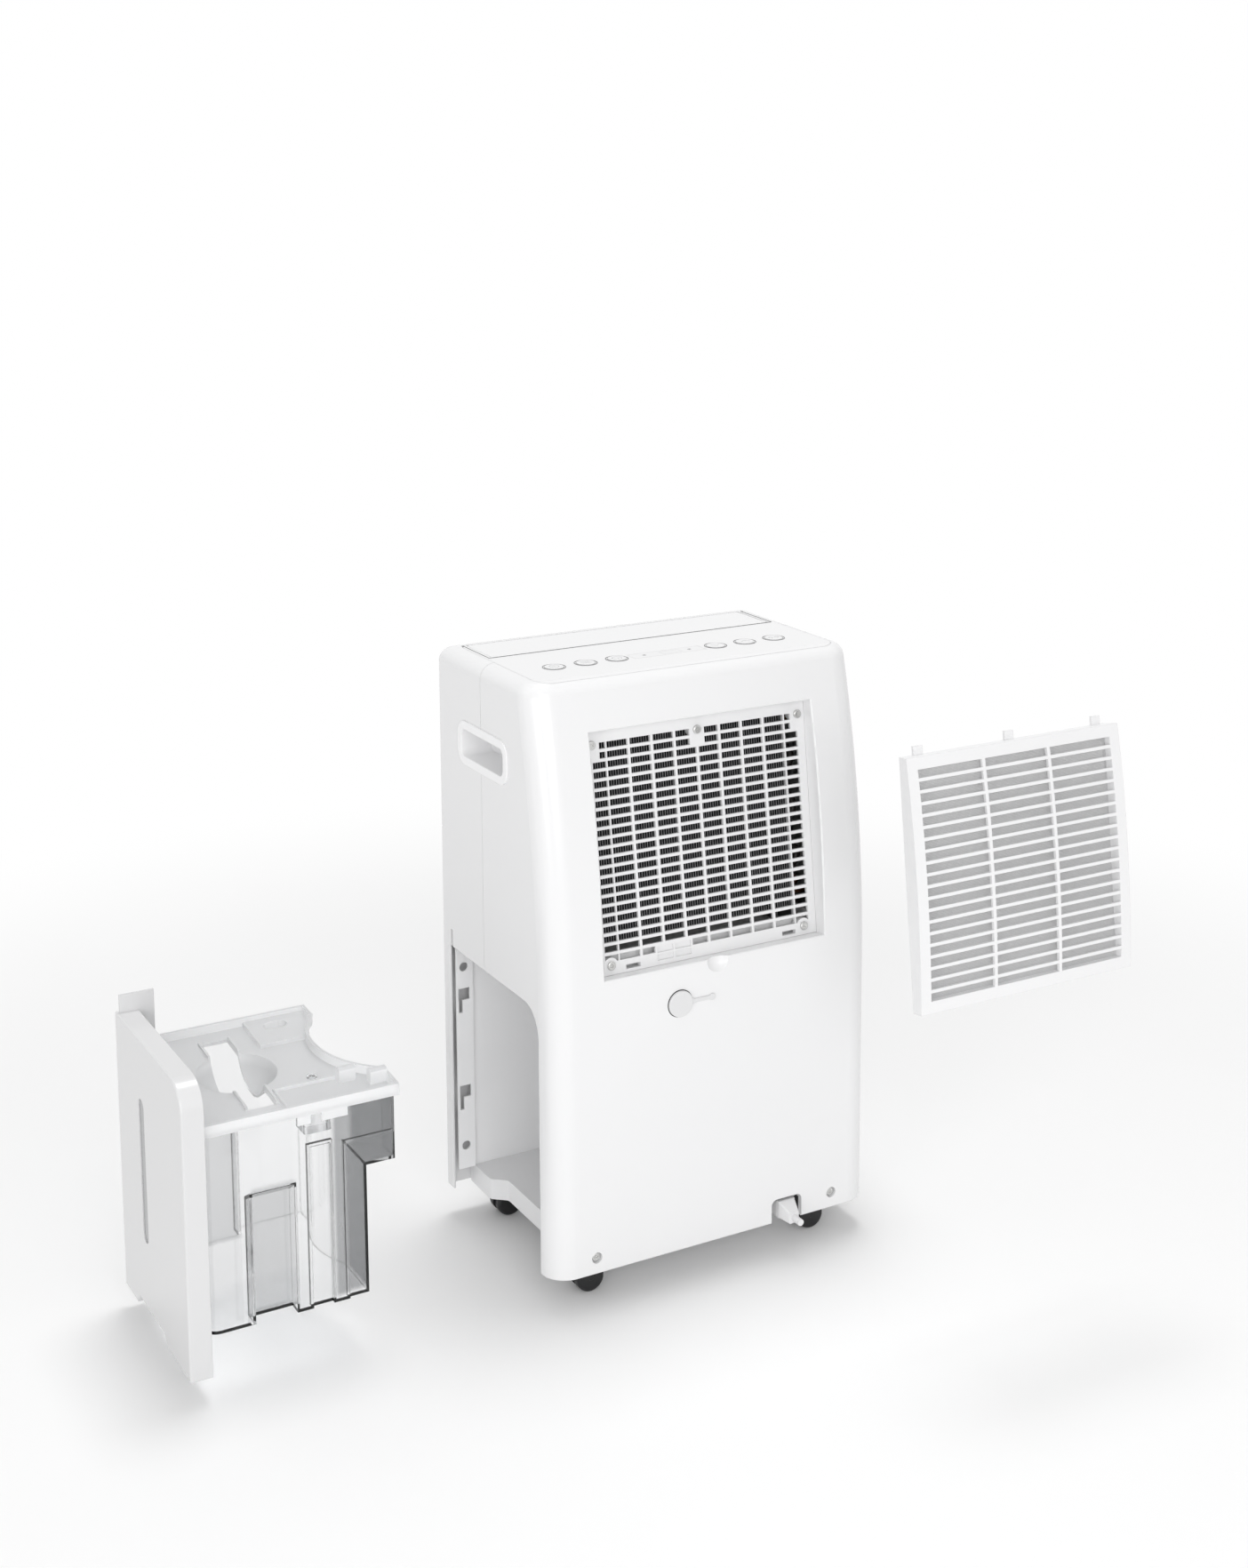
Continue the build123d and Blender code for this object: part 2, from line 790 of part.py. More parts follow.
for u, v in grille_screw_spots:
    if v > 0:
        bosses.append(Pos(u, boss_bottom + boss_height / 2) * Rectangle(grille_boss_width, boss_height))
limits = Rectangle(grille_width, grille_height)
lattice = lattice + [boss & limits for boss in bosses]
grille = inlet_plane * extrude(lattice, grille_thickness)
# A blank panel of two by two shallow pockets stands over the lowest row, with a slot on each side of it
blank_v = -grille_rows / 2 * grille_row_pitch
grille += on_inlet(grille_blank_width, grille_blank_height, 0, grille_thickness, u=-grille_blank_x, v=blank_v)
pocket_width = (grille_blank_width - 3 * grille_blank_rib) / 2
pocket_height = (grille_blank_height - 3 * grille_blank_rib) / 2
for across in (-1, 1):
    for up in (-1, 1):
        grille -= on_inlet(
            pocket_width,
            pocket_height,
            grille_blank_thickness,
            2 * grille_thickness,
            u=-grille_blank_x + across * (pocket_width + grille_blank_rib) / 2,
            v=blank_v + up * (pocket_height + grille_blank_rib) / 2,
        )
for u in grille_slot_spots:
    grille -= grille_slot(u)
for spot in grille_screw_spots:
    grille -= inlet_plane * Pos(*spot, grille_thickness) * pilot
save(grille, "intake_grille")

grille_screws = [
    screw(number * screw_turn, inlet_plane * Pos(*spot, grille_thickness))
    for number, spot in enumerate(grille_screw_spots)
]
save(Compound(children=grille_screws), "grille_screws")

shell_screws = [
    screw(side * screw_turn, Pos(side * shell_screw_x, screw_seat_y, shell_screw_z) * Rot(-90, 0, 0))
    for side in (1, -1)
]
save(Compound(children=shell_screws), "shell_screws")

# Air filter: a slotted frame that fills the recess and follows the curve of the back, with a net behind it
filter_width = recess_width - 2 * filter_gap
filter_height = recess_height - 2 * filter_gap
frame_block = on_inlet(filter_width, filter_height, filter_floor, 2 * recess_depth)
frame_inner_width = filter_width - 2 * filter_border
frame_inner_height = filter_height - 2 * filter_border
frame_hollow = on_inlet(frame_inner_width, frame_inner_height, 0, 2 * recess_depth)
frame_ring = (frame_block & outside) - frame_hollow
face_layer = (frame_block & outside) - body_form(filter_face, body_bottom)
column_width = (frame_inner_width + filter_mullion) / filter_columns
row_height = (frame_inner_height + filter_bar) / filter_rows
slots = []
for row in range(filter_rows):
    v = (row - (filter_rows - 1) / 2) * row_height
    for column in range(filter_columns):
        u = (column - (filter_columns - 1) / 2) * column_width
        slots.append(Pos(u, v) * Rectangle(column_width - filter_mullion, row_height - filter_bar))
slot_cut = inlet_plane * extrude(Sketch() + slots, 2 * recess_depth)
frame = frame_ring + (face_layer - slot_cut)
# The far side is cut back on a slant, so that the frame passes the recess's edge on its way out
way_in = Vector(-filter_shift_x, -filter_shift_y, 0)
recess_edge = Pos(filter_slant_gap - inlet_half_width, 0, 0) * body_profile(0, body_bottom)
frame -= extrude(recess_edge, way_in.length, dir=way_in)
tab_root = filter_height / 2 - filter_border / 2
for u in filter_tab_spots:
    frame += on_inlet(
        filter_tab_width,
        filter_tab_height + filter_border / 2,
        filter_floor,
        filter_floor + filter_tab_thickness,
        u=u,
        v=tab_root + (filter_tab_height + filter_border / 2) / 2,
    )
save(filter_shift * frame, "filter_frame")

net_field_width = frame_inner_width - 2 * seat_gap
net_field_height = frame_inner_height - 2 * seat_gap
gap_width = (net_field_width - net_strand) / net_columns
gap_height = (net_field_height - net_strand) / net_rows
gaps = []
for row in range(net_rows):
    v = (row - (net_rows - 1) / 2) * gap_height
    for column in range(net_columns):
        u = (column - (net_columns - 1) / 2) * gap_width
        gaps.append(Pos(u, v) * Rectangle(gap_width - net_strand, gap_height - net_strand))
net_face = Rectangle(net_field_width, net_field_height) - gaps
net = inlet_plane * Pos(0, 0, filter_floor + net_lift) * extrude(net_face, net_thickness)
save(filter_shift * net, "filter_net")

# Heat exchangers: two fin packs behind the grille, each with its serpentine of tube through end plates
coil_v0 = coil_bottom - inlet_mid_z
coil_v1 = coil_top - inlet_mid_z
coil_height = coil_v1 - coil_v0
coil_mid_v = (coil_v0 + coil_v1) / 2
fin_count = int(2 * coil_half_width / fin_pitch)
tube_pitch = coil_height / coil_tube_rows
tube_spots = [coil_v0 + (row + 0.5) * tube_pitch for row in range(coil_tube_rows)]
fin_face = Pos(0, coil_mid_v) * Rectangle(coil_depth, coil_height)
fin_face -= [Pos(0, v) * Circle(coil_tube_radius + fin_tube_gap) for v in tube_spots]
tube_half = fin_count * fin_pitch / 2 + coil_bend_gap
for name, number in (("evaporator", 0), ("condenser", 1)):
    near = -shell_wall - coil_setback - number * (coil_depth + coil_spacing)
    middle = near - coil_depth / 2
    # The end plates reach down to the drip tray and carry the pack
    foot_z = tray_floor + tray_wall + seat_gap
    foot_v = (foot_z - inlet_mid_z - (near - coil_depth) * math.sin(lean_angle)) / math.cos(lean_angle)
    plate_face = fin_face + Pos(0, (foot_v + coil_v0) / 2) * Rectangle(coil_depth, coil_v0 - foot_v)
    fins = []
    for index in range(fin_count):
        u = (index - (fin_count - 1) / 2) * fin_pitch
        is_end = index in (0, fin_count - 1)
        plate = end_plate_thickness if is_end else fin_thickness
        fin_plane = inlet_plane * Pos(u - plate / 2, 0, middle) * Rot(0, 90, 0)
        fins.append(fin_plane * extrude(plate_face if is_end else fin_face, plate))
    save(Compound(children=fins), name + "_fins")
    tubes = []
    for row, v in enumerate(tube_spots):
        tube = inlet_plane * Pos(0, v, middle) * Rot(0, 90, 0) * Cylinder(coil_tube_radius, 2 * tube_half)
        tubes.append(tube)
        if row + 1 < coil_tube_rows:
            side = 1 if row % 2 else -1
            bend = Torus(tube_pitch / 2, coil_tube_radius) & block(0, far, -far, far, -far, far)
            bend = bend if side > 0 else Rot(0, 0, 180) * bend
            tubes.append(inlet_plane * Pos(side * tube_half, v + tube_pitch / 2, middle) * bend)
    save(tubes[0] + tubes[1:], name + "_tube")

# Compressor: a domed steel can on rubber grommets, with its pump inside and an accumulator beside it
can_top = compressor_bottom + compressor_height


def can_form(inset):
    """The compressor's can, drawn in by an inset."""
    can_radius = compressor_radius - inset
    solid = upright(can_radius, compressor_x, compressor_y, compressor_bottom + inset, can_top - inset)
    return fillet(solid.edges().filter_by(GeomType.CIRCLE), compressor_dome - inset)


can = can_form(0)
foot_z = compressor_bottom + compressor_dome
spots = []
for number in range(compressor_feet):
    angle = compressor_first_foot + number * 360 / compressor_feet
    arm = Pos(compressor_foot_radius / 2, 0, 0) * Box(
        compressor_foot_radius, compressor_foot_width, compressor_foot_thickness
    )
    arm += Pos(compressor_foot_radius, 0, 0) * Cylinder(compressor_foot_width / 2, compressor_foot_thickness)
    arm -= Pos(compressor_foot_radius, 0, 0) * Cylinder(grommet_stem_radius, 2 * compressor_foot_thickness)
    can += Pos(compressor_x, compressor_y, foot_z + compressor_foot_thickness / 2) * Rot(0, 0, angle) * arm
    turn = math.radians(angle)
    spots.append(
        (
            compressor_x + compressor_foot_radius * math.cos(turn),
            compressor_y + compressor_foot_radius * math.sin(turn),
        )
    )
can -= can_form(compressor_wall)
save(can, "compressor")
pump_bottom = compressor_bottom + compressor_wall
pump = upright(pump_radius, compressor_x, compressor_y, pump_bottom, pump_bottom + pump_height)
pump = pump & can_form(compressor_wall)
save(pump, "compressor_pump")
grommets = []
for x, y in spots:
    grommet = upright(grommet_radius, x, y, base_deck_top, foot_z)
    grommet += upright(grommet_stem_radius - seat_gap, x, y, foot_z, foot_z + 2 * compressor_foot_thickness)
    grommets.append(grommet)
save(Compound(children=grommets), "compressor_grommets")
turn = math.radians(accumulator_angle)
reach = compressor_radius + accumulator_radius
accumulator_x = compressor_x + reach * math.cos(turn)
accumulator_y = compressor_y + reach * math.sin(turn)
accumulator_top = accumulator_bottom + accumulator_height


def accumulator_form(inset):
    """The accumulator's can, drawn in by an inset."""
    wall_radius = accumulator_radius - inset
    at = (accumulator_x, accumulator_y)
    solid = upright(wall_radius, *at, accumulator_bottom + inset, accumulator_top - inset)
    return fillet(solid.edges().filter_by(GeomType.CIRCLE), accumulator_dome - inset)


accumulator = accumulator_form(0) - accumulator_form(accumulator_wall) - can
save(accumulator, "accumulator")


def pipe(points, radius, bend):
    """A bent copper pipe through the given corners."""
    path = FilletPolyline(*points, radius=bend)
    section = Plane(origin=path @ 0, z_dir=path % 0) * Circle(radius)
    return sweep(section, path)


# Refrigerant pipes: discharge to the condenser, a thin capillary on to the evaporator and suction back
coil_ends = []
for number in (0, 1):
    near = -shell_wall - coil_setback - number * (coil_depth + coil_spacing)
    for v in (tube_spots[0], tube_spots[-1]):
        coil_ends.append((inlet_plane * Pos(tube_half, v, near - coil_depth / 2)).position)
evaporator_end, evaporator_start, condenser_start, condenser_end = coil_ends
pipe_x = -(inner_half_width + tube_half) / 2
pipe_level = can_top + 2 * pipe_bend
discharge = pipe(
    [
        (compressor_x, compressor_y, can_top),
        (compressor_x, compressor_y, pipe_level),
        (pipe_x, compressor_y, pipe_level),
        (pipe_x, compressor_y, condenser_start.Z),
        (pipe_x, condenser_start.Y, condenser_start.Z),
        tuple(condenser_start),
    ],
    pipe_radius,
    pipe_bend,
)
save(discharge, "discharge_pipe")
suction_x = pipe_x - 3 * pipe_radius
suction = pipe(
    [
        (accumulator_x, accumulator_y, accumulator_top),
        (accumulator_x, accumulator_y, pipe_level),
        (suction_x, accumulator_y + pipe_bend, pipe_level),
        (suction_x, evaporator_end.Y, pipe_level),
        (suction_x, evaporator_end.Y, evaporator_end.Z),
        tuple(evaporator_end),
    ],
    pipe_radius,
    pipe_bend,
)
save(suction, "suction_pipe")
capillary_x = -tube_half - 3 * capillary_bend
capillary = pipe(
    [
        tuple(condenser_end),
        (capillary_x, condenser_end.Y, condenser_end.Z),
        (capillary_x, evaporator_start.Y, evaporator_start.Z),
        tuple(evaporator_start),
    ],
    capillary_radius,
    capillary_bend,
)
save(capillary, "capillary_tube")

# Fan: a centrifugal wheel on the motor's shaft inside a scroll that blows up through the louver
disc_back = fan_disc_y + fan_disc_thickness
wheel = along_y(fan_radius, fan_x, fan_z, fan_disc_y, disc_back)
wheel += along_y(fan_hub_radius, fan_x, fan_z, fan_disc_y, fan_disc_y + fan_hub_length)
blade_mid = (fan_blade_inner + fan_radius) / 2
blade_length = fan_radius - fan_blade_inner
blade_half = fan_blade_thickness / 2
blade = block(-blade_length / 2, blade_length / 2, fan_front_y, fan_back_y, -blade_half, blade_half)
blades = []
for index in range(fan_blades):
    spin = Rot(0, index * 360 / fan_blades, 0)
    blades.append(Pos(fan_x, 0, fan_z) * spin * Pos(blade_mid, 0, 0) * Rot(0, fan_blade_angle, 0) * blade)
wheel = wheel + blades
for y in (fan_front_y, fan_back_y - fan_ring):
    ring = along_y(fan_radius, fan_x, fan_z, y, y + fan_ring)
    wheel += ring - along_y(fan_blade_inner, fan_x, fan_z, y, y + fan_ring)
wheel -= along_y(fan_shaft_radius, fan_x, fan_z, fan_front_y, fan_back_y)
save(wheel, "fan_wheel")
scroll_front_y = fan_front_y - scroll_side_gap
scroll_back_y = fan_back_y + scroll_side_gap
shaft = along_y(fan_shaft_radius, fan_x, fan_z, scroll_front_y, fan_disc_y + fan_hub_length)
save(shaft, "fan_shaft")

duct_top = ledge_top - ledge_thickness - duct_top_gap - 2 * louver_boss_radius
scroll_outer = along_y(scroll_radius, fan_x, fan_z, scroll_front_y - scroll_wall, scroll_back_y + scroll_wall)
scroll_outer += block(
    -duct_half_width - scroll_wall,
    duct_half_width + scroll_wall,
    scroll_front_y - scroll_wall,
    scroll_back_y + scroll_wall,
    fan_z,
    duct_top,
)
for x in (-scroll_foot_x, scroll_foot_x):
    half = scroll_foot_width / 2
    scroll_outer += block(
        x - half, x + half, scroll_front_y - scroll_wall, scroll_back_y + scroll_wall, tray_floor, fan_z
    )
scroll_inner = along_y(scroll_radius - scroll_wall, fan_x, fan_z, scroll_front_y, scroll_back_y)
scroll_inner += block(-duct_half_width, duct_half_width, scroll_front_y, scroll_back_y, fan_z, far)
scroll = scroll_outer - scroll_inner
scroll -= along_y(scroll_inlet_radius, fan_x, fan_z, scroll_back_y, scroll_back_y + scroll_wall)
scroll -= along_y(fan_shaft_radius + move_gap, fan_x, fan_z, scroll_front_y - scroll_wall, scroll_front_y)
save(scroll, "fan_scroll")

motor_y0 = scroll_front_y
motor_y1 = motor_y0 + motor_length
motor = along_y(motor_radius, fan_x, fan_z, motor_y0, motor_y1)
motor = fillet(motor.edges().filter_by(GeomType.CIRCLE).sort_by(Axis.Y)[-1], motor_flange_thickness)
motor += along_y(motor_flange_radius, fan_x, fan_z, motor_y0, motor_y0 + motor_flange_thickness)
motor -= along_y(fan_shaft_radius + fan_shaft_clearance, fan_x, fan_z, motor_y0, motor_y1)
save(motor, "fan_motor")

# Base pan: a deck on a skirt, cut back along the tank side, with four caster sockets
base_half = inner_half_width - seat_gap
base_front = front_y + shell_wall + seat_gap
base_back = back_y - shell_wall - seat_gap
deep_x = base_tank_edge_x - base_recess_depth


def base_plan(inset):
    """The deck's outline, drawn in by an inset."""
    outline = Polyline(
        (-base_half + inset, base_front + inset),
        (base_tank_edge_x - inset, base_front + inset),
        (base_tank_edge_x - inset, base_recess_front_y - base_recess_blend - inset),
        (deep_x - inset, base_recess_front_y - inset),
        (deep_x - inset, base_recess_back_y + inset),
        (base_tank_edge_x - inset, base_recess_back_y + base_recess_blend + inset),
        (base_tank_edge_x - inset, base_back - inset),
        (-base_half + inset, base_back - inset),
        close=True,
    )
    plan = make_face(outline)
    return fillet(plan.vertices(), base_corner - inset / 2)


base_height = base_deck_top - body_bottom
base = Pos(0, 0, body_bottom) * extrude(base_plan(0), base_height)
base -= Pos(0, 0, body_bottom) * extrude(base_plan(base_wall), base_height - base_deck_thickness)
base &= body_form(shell_wall + seat_gap, body_bottom)
for x, y in caster_spots.values():
    base += upright(stem_radius + socket_wall, x, y, body_bottom, base_deck_top)
    base -= upright(stem_radius + stem_clearance, x, y, body_bottom, body_bottom + stem_length + move_gap)
notch_room = Pos(notch_x, back_y, body_bottom) * Box(
    notch_width, 2 * (shell_wall + relief_inner + seat_gap), 2 * notch_height
)
base -= notch_room
well_room = shell_screw_well + shell_wall + seat_gap
boss_back_y = screw_seat_y - shell_wall - seat_gap
boss_front_y = screw_seat_y - screw_length - base_wall
for side in (1, -1):
    x = side * shell_screw_x
    base -= along_y(well_room, x, shell_screw_z, boss_back_y, back_y)
    base += block(x - well_room, x + well_room, boss_front_y, boss_back_y, body_bottom, base_deck_top)
    base -= along_y(screw_shank_radius + screw_clearance, x, shell_screw_z, boss_front_y, back_y)
save(base, "base_pan")

# Tank bay liner: the box that the tank slides into, bulged round the compressor
bulge_radius = compressor_clear_radius - 2 * bay_liner_wall - tank_lift
liner_outer = block(
    bay_end_x - bay_liner_wall,
    bay_flange_outer_x - bay_flange_width,
    bay_front_y - bay_liner_wall - bay_flange_rise,
    bay_back_y + bay_liner_wall,
    base_deck_top,
    bay_ceiling + bay_liner_wall,
)
bulge = upright(bulge_radius, compressor_x, compressor_y, base_deck_top, bay_ceiling + bay_liner_wall)
bulge_core = upright(bulge_radius - bay_liner_wall, compressor_x, compressor_y, base_deck_top, bay_ceiling)
liner_hollow = block(
    bay_end_x,
    far,
    bay_front_y - bay_flange_rise,
    bay_back_y,
    base_deck_top,
    bay_ceiling,
)
bay_bulge = bulge & block(bay_end_x - bay_liner_wall, far, -far, far, 0, far)
liner = (liner_outer - liner_hollow) + bay_bulge
liner -= bulge_core
# The front wall ends in a flange with round holes and keyholes that hooks hold the front panel by
liner += block(
    bay_flange_outer_x - bay_flange_width,
    bay_flange_outer_x,
    bay_front_y - bay_liner_wall,
    bay_front_y,
    base_deck_top,
    bay_ceiling + bay_liner_wall,
)
liner += block(
    bay_flange_outer_x - bay_flange_width - bay_liner_wall,
    bay_flange_outer_x - bay_flange_width,
    bay_front_y - bay_liner_wall - bay_flange_rise,
    bay_front_y,
    base_deck_top,
    bay_ceiling + bay_liner_wall,
)
flange_mid_x = bay_flange_outer_x - bay_flange_width / 2
for z in (bay_opening_top - bay_hole_inset, base_deck_top + bay_hole_inset):
    hole_front = bay_front_y - 2 * bay_liner_wall
    liner -= along_y(bay_hole_radius, flange_mid_x, z, hole_front, bay_front_y + bay_liner_wall)
key_x1 = flange_mid_x + key_width / 2
for z in (key_upper_z, key_lower_z):
    key = block(
        key_x1 - key_width,
        key_x1,
        bay_front_y - 2 * bay_liner_wall,
        bay_front_y + bay_liner_wall,
        z - key_head_height,
        z,
    )
    key += block(
        key_x1 - key_tail_width - 2 * seat_gap,
        key_x1 - 2 * seat_gap,
        bay_front_y - 2 * bay_liner_wall,
        bay_front_y + bay_liner_wall,
        z - key_head_height - key_tail_height,
        z - key_head_height,
    )
    liner -= key
drip_hole = upright(tray_spout_radius + 2 * seat_gap, lid_slot_x, lid_slot_y, 0, far)
liner -= drip_hole
spigot_room = spigot_radius + 2 * move_gap
liner_cut = upright(spigot_room, drain_x, drain_y, drain_z - spigot_room, far)
liner_cut += Pos(drain_x, drain_y, drain_z) * Sphere(spigot_room)
liner_cut += along_y(spigot_room, drain_x, drain_z, drain_y, back_y)
liner -= liner_cut
save(liner, "tank_bay_liner")

# Drip tray: catches the water under the fin packs and lets it fall through a spout into the tank
tray_half = tube_half + tube_pitch / 2 + coil_tube_radius + move_gap + tray_wall
tray = block(-tray_half, tray_half, tray_front_y, tray_back_y, tray_floor, tray_top)
tray += block(
    lid_slot_x - tray_spout_radius - tray_wall,
    lid_slot_x + tray_spout_radius + tray_wall,
    lid_slot_y - tray_spout_radius - tray_wall,
    tray_front_y + tray_wall,
    tray_floor,
    tray_top,
)
tray -= block(
    tray_wall - tray_half,
    tray_half - tray_wall,
    tray_front_y + tray_wall,
    tray_back_y - tray_wall,
    tray_floor + tray_wall,
    tray_top,
)
tray -= block(
    lid_slot_x - tray_spout_radius,
    lid_slot_x + tray_spout_radius,
    lid_slot_y - tray_spout_radius,
    tray_front_y + 2 * tray_wall,
    tray_floor + tray_wall,
    tray_top,
)
spout_bottom = bay_ceiling - 2 * bay_liner_wall
tray += upright(tray_spout_radius, lid_slot_x, lid_slot_y, spout_bottom, tray_floor + tray_wall)
tray -= upright(tray_spout_radius - tray_wall, lid_slot_x, lid_slot_y, spout_bottom, tray_floor + tray_wall)
tray -= upright(spigot_bore, drain_x, drain_y, 0, far)
save(tray, "drip_tray")

# Drain spigot: an elbow from the tray to the back, closed by a plug on a strap
spigot = upright(spigot_radius, drain_x, drain_y, drain_z, tray_floor)
spigot += Pos(drain_x, drain_y, drain_z) * Sphere(spigot_radius)
spigot += along_y(spigot_radius, drain_x, drain_z, drain_y, back_y)
spigot -= upright(spigot_bore, drain_x, drain_y, drain_z, tray_floor)
spigot -= Pos(drain_x, drain_y, drain_z) * Sphere(spigot_bore)
spigot -= along_y(spigot_bore, drain_x, drain_z, drain_y, back_y)
save(spigot, "drain_spigot")

cap_y = back_y + seat_gap
plug = along_y(plug_cap_radius, drain_x, drain_z, cap_y, cap_y + plug_cap_thickness)
plug = fillet(plug.edges().filter_by(GeomType.CIRCLE).sort_by(Axis.Y)[-1], plug_edge_round)
plug += along_y(spigot_bore - move_gap, drain_x, drain_z, cap_y - plug_length, cap_y)
save(plug, "drain_plug")
strap_x0 = drain_x - plug_cap_radius - move_gap
strap_y = back_y + strap_thickness
strap_half = strap_width / 2
strap = block(strap_pin_x, strap_x0, back_y, strap_y, drain_z - strap_half, drain_z + strap_half)
strap += along_y(strap_end_radius, strap_pin_x, drain_z, back_y, strap_y)
strap += along_y(strap_pin_radius, strap_pin_x, drain_z, back_y - 2 * shell_wall, back_y)
save(strap, "drain_strap")

# Water tank: a clear box moulded round the compressor, with grooves and pockets in its long walls


def tank_form(inset, top):
    """The tank's outside, drawn in by an inset."""
    form = block(
        tank_end_x + inset,
        tank_panel_inner_x - inset,
        tank_front_y + inset,
        tank_back_y - inset,
        tank_bottom + inset,
        top,
    )
    uprights = form.edges().filter_by(Axis.Z)
    form = fillet(uprights.sort_by(Axis.X)[2:], tank_corner - inset)
    end_edges = form.edges().filter_by(Axis.Z).group_by(Axis.X)[0]
    form = fillet(end_edges.sort_by(Axis.Y)[-1], tank_end_corner - inset)
    form -= upright(compressor_clear_radius + inset, compressor_x, compressor_y, 0, far)
    form -= block(-far, tank_far_end_x + inset, -far, tank_far_end_y, 0, far)
    ledge_y = tank_back_y - tank_ledge_depth - inset
    form -= block(-far, tank_ledge_x + inset, ledge_y, far, 0, tank_ledge_z + inset)
    form -= block(-far, tank_step_x + inset, -far, far, 0, tank_step_z + inset)
    form -= block(
        tank_groove_x - inset,
        tank_groove_x + tank_groove_width + inset,
        tank_back_y - tank_groove_depth - inset,
        far,
        0,
        tank_groove_top + inset,
    )
    for side, wall_y in ((1, tank_back_y), (-1, tank_front_y)):
        depth = side * (tank_pocket_depth + inset)
        pocket = Polyline(
            (wall_y + side * tank_pocket_depth, 0),
            (wall_y - depth, 0),
            (wall_y - depth, tank_pocket_top - tank_pocket_slope + inset),
            (wall_y, tank_pocket_top + inset),
            (wall_y + side * tank_pocket_depth, tank_pocket_top + inset),
            close=True,
        )
        pocket = extrude(make_face(Plane.YZ * pocket), tank_pocket_width + 2 * inset, dir=(1, 0, 0))
        form -= Pos(tank_pocket_x - inset, 0, 0) * pocket
    return form


# The rim slopes down towards the back, and the lid lies on it
lid_incline = Pos(0, lid_level_y, tank_rim_z) * Rot(-lid_slope, 0, 0) * Pos(0, -lid_level_y, -tank_rim_z)
under_lid = lid_incline * block(-far, far, -far, far, -far, tank_rim_z)
tank = (tank_form(0, far) & under_lid) - tank_form(tank_wall, far)
save(tank_shift * tank, "tank_body")

# Tank lid: a sloping frosted plate with a rim, a drip slot through a hand bowl, a pouring hole and clips


def lid_plan(grow):
    """The lid's outline, grown by a margin."""
    plan = Pos((tank_end_x + tank_panel_inner_x) / 2, (tank_front_y + tank_back_y) / 2) * Rectangle(
        tank_panel_inner_x - tank_end_x + grow, tank_back_y - tank_front_y + 2 * grow
    )
    plan = Pos(-grow / 2, 0) * plan
    plan -= Pos(compressor_x, compressor_y) * Circle(compressor_clear_radius - grow)
    return plan - Pos(tank_far_end_x - grow - far / 2, tank_far_end_y - far / 2) * Rectangle(far, far)


lid = Pos(0, 0, tank_rim_z) * extrude(lid_plan(lid_overhang), lid_thickness + lid_rim_height)
lid -= Pos(0, 0, lid_top) * extrude(lid_plan(lid_overhang - lid_rim_width), far)
lid &= block(-far, tank_panel_inner_x, -far, far, 0, far)
for x in (lid_slot_x - lid_slot_width / 2 - lid_rib_width, lid_slot_x + lid_slot_width / 2):
    lid += block(
        x,
        x + lid_rib_width,
        lid_slot_y - lid_slot_length / 2,
        lid_slot_y + lid_slot_length / 2,
        tank_rim_z,
        lid_top + lid_rib_height,
    )
pad = block(
    tank_far_end_x,
    lid_pad_end_x,
    tank_front_y,
    tank_front_y + lid_pad_width,
    tank_rim_z,
    lid_top + lid_pad_rise,
)
lid += pad & extrude(lid_plan(lid_overhang), far)
lid += block(
    tank_step_x, tank_pocket_x, lid_rib_y, lid_rib_y + lid_rib_width, tank_rim_z, lid_top + lid_rib_height
)
lid += block(
    tank_pocket_x,
    tank_pocket_x + lid_rib_width,
    lid_rib_y,
    tank_back_y,
    tank_rim_z,
    lid_top + lid_rib_height,
)
for number in (0, 1):
    lug_x = lid_lug_x - number * lid_lug_step
    lug_y = lid_lug_y + number * lid_lug_step_y
    lug = block(0, lid_lug_length, 0, lid_lug_width, tank_rim_z, lid_top + lid_lug_height)
    lug = fillet(lug.edges().filter_by(Axis.X).group_by(Axis.Z)[-1], lid_lug_round)
    lid += Pos(lug_x, lug_y, 0) * lug
lid = lid_incline * lid
# The bowl, the holes and the clips stand upright in the sloping lid
bowl_sphere = (lid_bowl_radius**2 + lid_bowl_depth**2) / (2 * lid_bowl_depth)
bowl_centre = Pos(lid_slot_x, lid_slot_y, lid_top - lid_bowl_depth + bowl_sphere)
below_top = lid_incline * block(-far, far, -far, far, -far, lid_top)
lid += bowl_centre * Sphere(bowl_sphere) & below_top
lid -= bowl_centre * Sphere(bowl_sphere - lid_bowl_wall)
lid -= Pos(lid_slot_x, lid_slot_y, 0) * Box(lid_slot_width, lid_slot_length, 2 * far)
pad_hole = SlotOverall(lid_pad_hole_length, lid_pad_hole_width)
lid -= Pos(lid_pad_hole_x, lid_pad_hole_y, 0) * extrude(pad_hole, far)
rim_fall = math.tan(math.radians(lid_slope))
near_rim_z = tank_rim_z - (tank_back_y - lid_level_y) * rim_fall
for clip_x, clip_width in lid_clips:
    lid += block(
        clip_x,
        clip_x + clip_width,
        tank_back_y + seat_gap,
        tank_back_y + lid_overhang - lid_clip_inset,
        near_rim_z - lid_clip_height,
        near_rim_z + lid_thickness / 2,
    )
lid -= upright(float_stem_radius + float_clearance, float_x, float_y, 0, far)
save(tank_shift * lid, "tank_lid")

